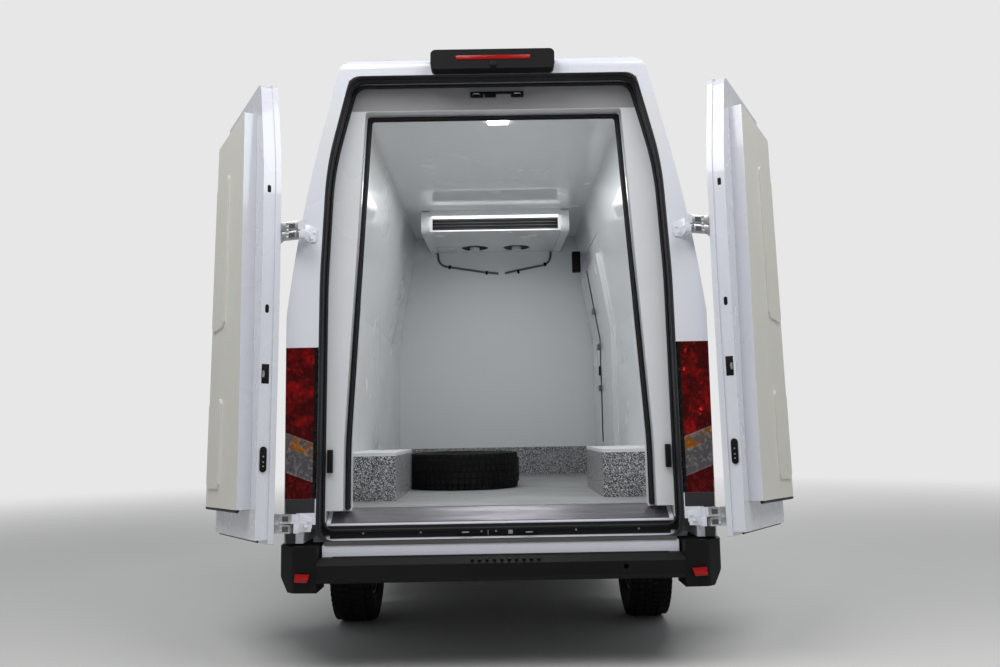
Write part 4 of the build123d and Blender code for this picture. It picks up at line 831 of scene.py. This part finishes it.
makePiece("strikerPlates", "black_plastic", rearBoxes, *fittings["plates"], bevel=0.0012)
makePiece("strikerLoops", "zinc", strikerLoops, smooth=True)
makePiece("sillTrims", "white_paint", rearBoxes, *fittings["trims"], bevel=0.0015)
makePiece("sillBand", "seal_rubber", rearBoxes, fittings["band"])
makePiece("sillStrip", "strip_grey", rearBoxes, fittings["strip"])
print("doorway fittings made")

# Rear bumper's reflectors and step ribs, the high brake light's lens and camera
bumper = {
    "reflector": [(0.837, 0.402), (0.8916, 0.405), (0.888, 0.44), (0.825, 0.436)], "reflectorY": -2.8345,
    "ribX": [-0.124 + 0.032 * i for i in range(10)], "rib": ((-0.007, -2.844, 0.487), (0.007, -2.81, 0.49)),
    "longRibY": (-2.8, -2.77, -2.74, -2.71), "longRib": ((-0.74, -0.004, 0.499), (0.74, 0.004, 0.5015)),
    "brakeStrip": ((-0.174, 0.18), (2.797, 2.818), (0.058, 0.0625)),
    "camera": [(0.016, 0), (0.016, 0.006), (0.012, 0.009), (0.006, 0.0095)], "cameraSpot": (0.003, 2.772, 0.058),
}


def reflectors(bm):
    for side, _ in bothSides:
        flat = Matrix(((side, 0, 0, 0), (0, 0, -1, bumper["reflectorY"]), (0, 1, 0, 0), (0, 0, 0, 1)))
        addPrism(bm, bumper["reflector"], 0.012, flat)


def stepRibs(bm):
    for x in bumper["ribX"]:
        addBox(bm, *bumper["rib"], at((x, 0, 0)))
    for y in bumper["longRibY"]:
        addBox(bm, *bumper["longRib"], at((0, y, 0)))


x, z, out = bumper["cameraSpot"]
makePiece("reflectors", "red_lens", reflectors, bevel=0.002)
makePiece("stepRibs", "black_plastic", stepRibs, bevel=0.001)
makePiece("brakeStrip", "red_lens", rearBoxes, bumper["brakeStrip"], bevel=0.0015)
makePiece("podCamera", "black_plastic", addTurned, bumper["camera"], rearFrame @ at((x, faceUp(z), out)), 24,
          smooth=True)
print("bumper details made")

# Tyres with tread, in place of the plain ones, on the four wheels and on the spare
tyre = {
    "radius": 0.349, "pitches": 60, "blockLength": 0.8, "blockHalf": 0.006, "spare": (-0.225, -1.175, 0.7995),
    # Axles: half the track and y
    "axles": {"front": (0.845, 1.84), "rear": (0.8, -1.68)}, "bolts": 6, "boltCircle": 0.0625, "face": 0.026,
    # Blocks of one pitch: (middle along the axis, width, top radius, skew in degrees)
    "blocks": [(-0.09, 0.024, 0.34, 4), (-0.056, 0.03, 0.3484, 14), (-0.0185, 0.03, 0.3488, -10),
               (0.0185, 0.03, 0.3488, 10), (0.056, 0.03, 0.3484, -14), (0.09, 0.024, 0.34, -4)],
    # Section from the bead out to the tread's middle: (radius, distance from the middle)
    "section": [(0.2045, 0.086), (0.21, 0.0935), (0.22, 0.0965), (0.229, 0.0955), (0.242, 0.1035),
                (0.264, 0.1085), (0.286, 0.109), (0.305, 0.1072), (0.306, 0.1085), (0.309, 0.108),
                (0.32, 0.101), (0.329, 0.093), (0.3365, 0.08), (0.341, 0.04)],
    "spareRim": [(0.2042, -0.085), (0.191, -0.085), (0.188, 0.01), (0.032, 0.01), (0.032, 0.026), (0.08, 0.026),
                 (0.125, 0.05), (0.188, 0.032), (0.191, 0.085), (0.2042, 0.085)],
}


def tyreShape(bm):
    half, thick = tyre["section"], tyre["blockHalf"]
    addTurned(bm, half + [(radius, -along) for radius, along in reversed(half)], sides=72, ring=True)
    pitch = 2 * math.pi / tyre["pitches"]
    for i in range(tyre["pitches"]):
        for along, width, top, skew in tyre["blocks"]:
            turn = Matrix.Rotation(pitch * (i + (0.5 if along > 0 else 0.0)), 4, "Z")
            corner = Vector((thick, pitch * top * tyre["blockLength"] / 2, width / 2))
            addBox(bm, -corner, corner, turn @ at((top - thick, 0, along), skew))


def wheelFittings(bm):
    face = tyre["face"]
    addTurned(bm, [(0.046, face - 0.002), (0.046, face + 0.02), (0.038, face + 0.028), (0.016, face + 0.031)])
    for i in range(tyre["bolts"]):
        turn = Matrix.Rotation(2 * math.pi * i / tyre["bolts"], 4, "Z")
        addTurned(bm, [(0.013, 0), (0.013, 0.003), (0.0105, 0.0035), (0.0105, 0.015), (0.007, 0.019)],
                  turn @ at((tyre["boltCircle"], 0, face - 0.001)), 6)
    addTube(bm, [(0.168, 0, 0.045), (0.166, 0.002, 0.072)], 0.0035, 8)


# A copy of a shape made once, placed in its mesh
def placedCopy(name, source, place, body):
    mesh = source.data.copy()
    mesh.name = name
    mesh.transform(place)
    return addObject(name, mesh, body)


spareTyre = makePiece("spareTyre", "tyre_rubber", tyreShape, smooth=True)
spareFittings = makePiece("spareFittings", "dark_zinc", wheelFittings, bevel=0.0008)
for axle, (halfTrack, y) in tyre["axles"].items():
    for side, name in bothSides:
        place = at((side * halfTrack, y, tyre["radius"]), 90 * side, "Y")
        corner = f"{axle}_{name.lower()}"
        copy = placedCopy(f"tyre{axle.title()}{name}", spareTyre, place, f"wheel_{corner}")
        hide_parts(f"tyre_{corner}")
        placedCopy(f"bolts{axle.title()}{name}", spareFittings, place, f"wheel_{corner}")
spareTyre.data.transform(at(tyre["spare"]))
bpy.data.objects.remove(spareFittings)
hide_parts("spare_wheel")
makePiece("spareRim", "steel_wheel", addTurned, tyre["spareRim"], at(tyre["spare"]), 48, True, smooth=True)
print("wheels made")

surfaceTrees = {}


# Where a ray meets a CAD piece, or nothing
def onSurface(nodeName, start, look):
    if nodeName not in surfaceTrees:
        node = nodes[nodeName]
        verts = [node.matrix_world @ vert.co for vert in node.data.vertices]
        surfaceTrees[nodeName] = BVHTree.FromPolygons(verts, [list(face.vertices) for face in node.data.polygons])
    return surfaceTrees[nodeName].ray_cast(Vector(start), Vector(look))[0]


# The same seen from one side of the vehicle, or from the front
def fromSide(nodeName, side, y, z):
    return onSurface(nodeName, (side * 2, y, z), (-side, 0, 0))


def fromFront(nodeName, x, z):
    return onSurface(nodeName, (x, 4, z), (0, -1, 0))


# A grid between limits across and up that takes its points from spot, faces against look and is thickened
def addSkin(name, finishName, body, spot, across, up, look, steps, thick, offset, smooth=False):
    bm = bmesh.new()
    bmesh.ops.create_grid(bm, x_segments=steps[0], y_segments=steps[1], size=0.5)
    for vert in list(bm.verts):
        u = across[0] + (vert.co.x + 0.5) * (across[1] - across[0])
        v = up[0] + (vert.co.y + 0.5) * (up[1] - up[0])
        hit = spot(u, v)
        if hit is None:
            bm.verts.remove(vert)
        else:
            vert.co = hit
    bm.normal_update()
    if sum((face.normal for face in bm.faces), Vector()).dot(look) > 0:
        bmesh.ops.reverse_faces(bm, faces=bm.faces)
    piece = fromShape(name, bm, finishName, body, smooth)
    solid = piece.modifiers.new("thickness", "SOLIDIFY")
    solid.thickness, solid.offset = thick, offset
    return piece


# A patch laid on a CAD piece, seen along look
def surfacePatch(name, finishName, nodeName, across, up, look, thick, steps, body="root"):
    look = Vector(look)

    def spot(u, v):
        return onSurface(nodeName, Vector((0, u, v) if look.x else (u, 0, v)) - look * 4, look)

    piece = addSkin(name, finishName, body, spot, across, up, look, steps, thick, 1)
    edge = piece.modifiers.new("edge", "BEVEL")
    edge.width, edge.segments = thick * 0.3, 2


sideParts = {
    "mouldingZ": (0.735, 0.815), "mouldingThick": 0.009, "markerZ": (0.585, 0.615), "markerHalf": 0.031,
    # (piece's name, CAD piece, side, from y, to y)
    "mouldings": [
        ("mouldingRearLeft", "side_left", -1, -2.64, -2.125), ("mouldingLeft", "side_left", -1, -1.235, 0.3),
        ("mouldingRearRight", "side_right", 1, -2.64, -2.125), ("mouldingRight", "side_right", 1, -1.235, -1.015),
        ("mouldingSlide", "sliding_door", 1, -0.975, 0.215), ("mouldingDoorLeft", "cab_door_left", -1, 0.45, 1.37),
        ("mouldingDoorRight", "cab_door_right", 1, 0.45, 1.37),
    ],
    # (CAD piece, side, y)
    "markers": [("side_left", -1, -2.36), ("side_left", -1, -1.1), ("side_left", -1, 0.1), ("side_right", 1, -2.36),
                ("side_right", 1, -1.1), ("sliding_door", 1, -0.1)],
    # (piece's name, CAD piece, side, y, length)
    "handles": [("handleLeft", "cab_door_left", -1, 0.64, 0.19), ("handleRight", "cab_door_right", 1, 0.64, 0.19),
                ("handleSlide", "sliding_door", 1, 0.1, 0.17)],
    "handleZ": 1.19, "foot": (0.012, 0.014, 0.012), "footOut": 0.018, "barOut": (0.026, 0.046), "barHalf": 0.016,
    "footShare": 0.42, "lockShare": 0.72,
    # Boxes of the rear handle: (from x, to x, half height, from out, to out)
    "rearHandle": [(0.045, 0.235, 0.035, 0.001, 0.007), (0.055, 0.225, 0.014, 0.02, 0.034),
                   (0.065, 0.077, 0.01, 0.005, 0.024), (0.205, 0.217, 0.01, 0.005, 0.024)],
    "rearHandleZ": 1.18,
}


def bodyOf(nodeName):
    return nodeName if nodeName.startswith("cab_door") else "root"


for name, nodeName, side, *span in sideParts["mouldings"]:
    surfacePatch(name, "black_plastic", nodeName, span, sideParts["mouldingZ"], (-side, 0, 0),
                 sideParts["mouldingThick"], (30, 6), bodyOf(nodeName))
for i, (nodeName, side, y) in enumerate(sideParts["markers"]):
    span = (y - sideParts["markerHalf"], y + sideParts["markerHalf"])
    surfacePatch(f"sideMarker{i}", "amber_lens", nodeName, span, sideParts["markerZ"], (-side, 0, 0), 0.007, (6, 3))
surfacePatch("fuelFlap", "white_paint", "side_left", (0.06, 0.24), (0.99, 1.19), (1, 0, 0), 0.0025, (8, 8))

# Lips round the wheel arches: (axle's y, CAD piece, from and to in degrees)
arches = {"radius": 0.432, "bar": 0.011, "steps": 40, "inside": 0.85,
          "rows": [(-1.68, "side_{}", 12, 168), (1.84, "front_wings", 14, 150)]}


def archLips(bm):
    for side, name in bothSides:
        for y, nodeName, low, high in arches["rows"]:
            turns = [math.radians(low + (high - low) * i / arches["steps"]) for i in range(arches["steps"] + 1)]
            hits = [fromSide(nodeName.format(name.lower()), side, y + arches["radius"] * math.cos(a),
                             tyre["radius"] + arches["radius"] * math.sin(a)) for a in turns]
            addTube(bm, [hit for hit in hits if hit is not None and abs(hit.x) > arches["inside"]], arches["bar"], 10)


makePiece("archLips", "black_plastic", archLips, smooth=True)


# A bar handle with two feet and a key cylinder
def sideHandle(bm, nodeName, side, y, length):
    z, foot = sideParts["handleZ"], Vector(sideParts["foot"])
    for step in (-1, 1):
        hit = fromSide(nodeName, side, y + step * length * sideParts["footShare"], z)
        addBox(bm, -foot, foot, at((hit.x + side * sideParts["footOut"], hit.y, z)))
    middle = fromSide(nodeName, side, y, z).x
    low, high = sorted(middle + side * out for out in sideParts["barOut"])
    half = sideParts["barHalf"]
    addBox(bm, (low, y - length / 2, z - half), (high, y + length / 2, z + half))
    lock = fromSide(nodeName, side, y - length * sideParts["lockShare"], z)
    addTurned(bm, [(0.014, -0.002), (0.014, 0.004), (0.01, 0.006)], at(lock, 90 * side, "Y"), 20)


def rearHandle(bm):
    level = faceUp(sideParts["rearHandleZ"])
    for x0, x1, half, out0, out1 in sideParts["rearHandle"]:
        addBox(bm, (x0, level - half, out0), (x1, level + half, out1), openDoor(1))


for name, nodeName, *sizes in sideParts["handles"]:
    makePiece(name, "black_plastic", sideHandle, nodeName, *sizes, body=bodyOf(nodeName), bevel=0.004)
makePiece("rearHandle", "black_plastic", rearHandle, body="rear_door_right", bevel=0.003)
print("side fittings made")

# The front: lamp bowls behind the clear lenses, grille trim, fog lamps, blank plate and wipers
front = {
    # Bowls and fog lamps: (x, z, radius)
    "bowls": [(0.63, 0.915, 0.06), (0.765, 0.925, 0.06), (0.845, 0.985, 0.03)], "bowlBack": 0.06,
    # (share of the radius, distance along)
    "bowl": [(0.25, 0.0), (0.6, 0.008), (0.9, 0.024), (1, 0.04), (1.04, 0.04), (0.95, 0.022), (0.6, 0.003),
             (0.25, -0.004)],
    "bulb": [(0.2, 0.0), (0.2, 0.022), (0.08, 0.027)], "fog": (0.7, 0.455, 0.045),
    "fogLens": [(1, -0.003), (1, 0.004), (0.7, 0.0075), (0.2, 0.009)],
    "plate": ((-0.26, 0.26), (0.54, 0.65)), "trim": ((-0.48, 0.48), (1.062, 1.078)),
    # Blades as (pivot x, tip x, tip z) on the screen
    "wipers": [(-0.5, 0.06, 1.52), (0.12, 0.66, 1.515)], "bladeZ": 1.435, "wiperFoot": (2.07, 1.417),
}


def lampBowls(bm):
    for side, _ in bothSides:
        for x, z, radius in front["bowls"]:
            place = at(fromFront("headlamps", side * x, z) - Vector((0, front["bowlBack"], 0)), -90)
            addTurned(bm, [(radius * share, along) for share, along in front["bowl"]], place, 32, ring=True)
            addTurned(bm, [(radius * share, along) for share, along in front["bulb"]], place, 16)


def wipers(bm):
    for pivot, tipX, tipZ in front["wipers"]:
        start, tip = Vector((pivot, front["bladeZ"])), Vector((tipX, tipZ))
        hits = [fromFront("windscreen", *start.lerp(tip, i / 8)) for i in range(9)]
        points = [hit + Vector((0, 0.011, 0.006)) for hit in hits if hit is not None]
        addTube(bm, points, 0.0065, 6)
        middle = points[len(points) // 2] + Vector((0, 0.008, 0.004))
        foot = Vector((pivot, *front["wiperFoot"]))
        addTube(bm, [foot, foot.lerp(middle, 0.3) + Vector((0, 0.006, 0.012)), middle], 0.007, 8)
        addTurned(bm, [(0.018, -0.01), (0.018, 0.012), (0.01, 0.018)], at(foot), 20)


def fogLamps(bm):
    x, z, radius = front["fog"]
    for side, _ in bothSides:
        rows = [(radius * share, along) for share, along in front["fogLens"]]
        addTurned(bm, rows, at(fromFront("front_bumper", side * x, z), -90), 32)


makePiece("lampBowls", "chrome_look", lampBowls, smooth=True)
makePiece("wipers", "black_plastic", wipers, smooth=True)
makePiece("fogLamps", "lamp_glass", fogLamps, smooth=True)
surfacePatch("frontPlate", "plate_blank", "front_bumper", *front["plate"], (0, -1, 0), 0.004, (12, 3))
surfacePatch("grilleTrim", "dark_zinc", "grille", *front["trim"], (0, -1, 0), 0.006, (30, 2))

# Two panes of glass on the back of each mirror and an amber repeater on its front
mirror = {"x": (1.062, 1.218), "y": (-0.0015, 0.002), "lower": (0.018, 0.112), "upper": 0.13, "edge": 0.016,
          "repeaterX": (1.11, 1.21), "repeaterZ": (1.455, 1.475)}


def mirrorGlass(bm, side, box):
    low, high = box
    x0, x1 = sorted(side * x for x in mirror["x"])
    y0, y1 = (low.y + shift for shift in mirror["y"])
    addBox(bm, (x0, y0, low.z + mirror["upper"]), (x1, y1, high.z - mirror["edge"]))
    addBox(bm, (x0, y0, low.z + mirror["lower"][0]), (x1, y1, low.z + mirror["lower"][1]))


for side, name in bothSides:
    mirrorName, door = f"mirror_{name.lower()}", f"cab_door_{name.lower()}"
    makePiece(f"mirrorGlass{name}", "mirror_glass", mirrorGlass, side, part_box(mirrorName), body=door, bevel=0.0006)
    surfacePatch(f"repeater{name}", "amber_lens", mirrorName, sorted(side * x for x in mirror["repeaterX"]),
                 mirror["repeaterZ"], (0, -1, 0), 0.004, (6, 2), door)
print("front made")

# Fans of the roof unit under their guards
roofUnit = {
    "fans": ((-0.25, -0.04, 3.037), (0.25, -0.04, 3.037)), "depth": 0.035, "blades": 7, "bladeTurn": 24,
    "blade": ((0.062, -0.036, 0.012), (0.16, 0.036, 0.014)),
    "guard": {"radii": (0.068, 0.088, 0.108, 0.128, 0.148, 0.168), "bar": 0.0016, "steps": 48, "spokes": 8,
              "reach": (0.058, 0.17), "spokeBar": 0.002},
}


def roofFans(bm):
    for x, y, z in roofUnit["fans"]:
        for i in range(roofUnit["blades"]):
            turn = at((x, y, z - roofUnit["depth"]), 360 * i / roofUnit["blades"], "Z")
            addBox(bm, *roofUnit["blade"], turn @ at((0, 0, 0), roofUnit["bladeTurn"]))


makePiece("roofFans", "black_plastic", roofFans)
makePiece("roofGuards", "dark_zinc", fanGuards, roofUnit, smooth=True)
print("roof unit made")

# Skins that carry the body's side on behind the cab doors, up to the roof
pillar = {"y": (0.3207, 0.4215), "z": (2.0535, 2.5493), "thick": 0.018, "probeY": 0.312}
for side, name in bothSides:
    addSkin(f"pillarSkin{name}", "white_paint", "root",
            lambda y, z: (fromSide(f"side_{name.lower()}", side, pillar["probeY"], z).x, y, z),
            pillar["y"], pillar["z"], (-side, 0, 0), (4, 24), pillar["thick"], -1, True)
print("pillar skins made")

# Seats: padded bottoms, backs and head restraints on plain bases, one of each per place
seat = {
    "places": (-0.44, 0.08, 0.48), "widths": (0.46, 0.37, 0.39), "voxel": 0.014, "pressure": 4.0, "cap": 0.016,
    "frames": 20, "channels": (0.7, 0.83, 0.96), "channelDepth": 0.007, "channelReach": 0.018,
    # Backs begin and end at these heights; their channels follow from the bottoms' by height
    "backFrom": 0.95, "backTo": 1.45, "backScale": 0.9, "backShift": -0.2,
    # Pads: (half width, or 0 for the place's own, half depth, half height, y, z, lean in degrees, rounding)
    "pads": [(0, 0.215, 0.052, 0.83, 0.835, 1.5, 0.03), (0, 0.042, 0.29, 0.492, 1.205, 9.5, 0.026),
             (0.105, 0.03, 0.08, 0.415, 1.6, 3.8, 0.022)],
    "bases": ((-0.62, -0.26), (-0.06, 0.62)), "baseY": (0.575, 0.985), "baseZ": (0.5605, 0.77),
    # Shells behind the backs and pans below the bottoms: (margin on each side, y, z, middle's y and z, lean)
    "shells": [(0.03, (-0.016, 0.01), (-0.3, 0.27), (0.436, 1.18), 9.5),
               (0.02, (-0.3, 0.2), (-0.012, 0.012), (0.8, 0.776), 0)],
    "posts": (-0.05, 0.05), "post": ((0.425, 1.44), (0.42, 1.56)),
}


# A soft box between corners of a leaning frame, rounded before it swells
def softBox(bm, low, high, place, rounding):
    made = bmesh.new()
    addBox(made, low, high)
    bmesh.ops.bevel(made, geom=list(made.edges), offset=rounding, offset_type="OFFSET", segments=4, profile=0.5,
                    affect="EDGES", clamp_overlap=True, material=-1)
    bmesh.ops.transform(made, matrix=place, verts=made.verts)
    mesh = bpy.data.meshes.new("soft")
    made.to_mesh(mesh)
    made.free()
    bm.from_mesh(mesh)
    bpy.data.meshes.remove(mesh)


def seatPads(bm):
    for x, width in zip(seat["places"], seat["widths"]):
        for halfWidth, halfDepth, halfHeight, y, z, lean, rounding in seat["pads"]:
            half = Vector((halfWidth or width / 2, halfDepth, halfHeight))
            softBox(bm, -half, half, at((x, y, z), lean), rounding)


# A piece takes the mesh that its modifiers make
def applyModifiers(piece):
    graph = bpy.context.evaluated_depsgraph_get()
    mesh = bpy.data.meshes.new_from_object(piece.evaluated_get(graph))
    piece.modifiers.clear()
    piece.data = mesh


# Cloth puffs the pads; no point moves further than the cap, and sewn channels are pressed in after it
def puff(piece):
    bpy.context.view_layer.objects.active = piece
    mesher = piece.modifiers.new("voxels", "REMESH")
    mesher.mode, mesher.voxel_size = "VOXEL", seat["voxel"]
    applyModifiers(piece)
    start = [vert.co.copy() for vert in piece.data.vertices]
    cloth = piece.modifiers.new("cloth", "CLOTH")
    cloth.settings.use_pressure = True
    cloth.settings.uniform_pressure_force = seat["pressure"]
    cloth.settings.effector_weights.gravity = 0
    cloth.point_cache.frame_start, cloth.point_cache.frame_end = 1, seat["frames"]
    for step in range(1, seat["frames"] + 1):
        bpy.context.scene.frame_set(step)
    applyModifiers(piece)
    for vert, old in zip(piece.data.vertices, start):
        move = vert.co - old
        if move.length > seat["cap"]:
            vert.co = old + move.normalized() * seat["cap"]
    bpy.context.scene.frame_set(1)
    for vert in piece.data.vertices:
        low = vert.co.z < seat["backFrom"]
        along = vert.co.y if low else vert.co.z * seat["backScale"] + seat["backShift"]
        near = min(abs(along - line) for line in seat["channels"]) / seat["channelReach"]
        if vert.co.z < seat["backTo"] and near < 1:
            vert.co -= vert.normal * (seat["channelDepth"] * (1 - near) ** 2)
    piece.data.polygons.foreach_set("use_smooth", [True] * len(piece.data.polygons))


def seatBases(bm):
    for span in seat["bases"]:
        addBox(bm, *zip(span, seat["baseY"], seat["baseZ"]))
    for x, width in zip(seat["places"], seat["widths"]):
        for margin, y, z, middle, lean in seat["shells"]:
            half = width / 2 - margin
            addBox(bm, *zip((-half, half), y, z), at((x, *middle), lean))
        for step in seat["posts"]:
            addTube(bm, [(x + step, *end) for end in seat["post"]], 0.006, 8)


pads = makePiece("seatPads", "seat_fabric", seatPads)
puff(pads)
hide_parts("seats")
makePiece("seatBases", "black_plastic", seatBases, bevel=0.004)
print("seats made")

# The sliding door's inner seal shows as a dark line on the right wall, with its clips and the track's end above
wallParts = {
    "strip": ((-0.35, -0.322), (0.945, 2.215)), "clips": (1.905, 1.64, 1.335), "probeY": -0.315,
    "clip": ((-0.022, -0.372, -0.022), (-0.0005, -0.3, 0.022)), "latchSpot": (-0.29, 1.465),
    "latch": ((-0.012, -0.315, -0.035), (-0.0005, -0.285, 0.035)),
    "track": ((0.6, -0.045, 2.265), (0.664, 0.015, 2.425)),
}
surfacePatch("wallStrip", "seal_rubber", "sliding_door", *wallParts["strip"], (1, 0, 0), 0.004, (2, 40))


# A box whose x and z are taken from the spot where the right wall is met from inside
def wallBox(bm, y, z, corners):
    hit = onSurface("sliding_door", (0, y, z), (1, 0, 0))
    addBox(bm, *corners, at((hit.x, 0, z)))


def wallClips(bm):
    for z in wallParts["clips"]:
        wallBox(bm, wallParts["probeY"], z, wallParts["clip"])


def wallBlacks(bm):
    wallBox(bm, *wallParts["latchSpot"], wallParts["latch"])
    addBox(bm, *wallParts["track"])


makePiece("wallClips", "grey_hose", wallClips, bevel=0.003)
makePiece("wallBlacks", "black_plastic", wallBlacks, bevel=0.003)
print("right wall fitted")
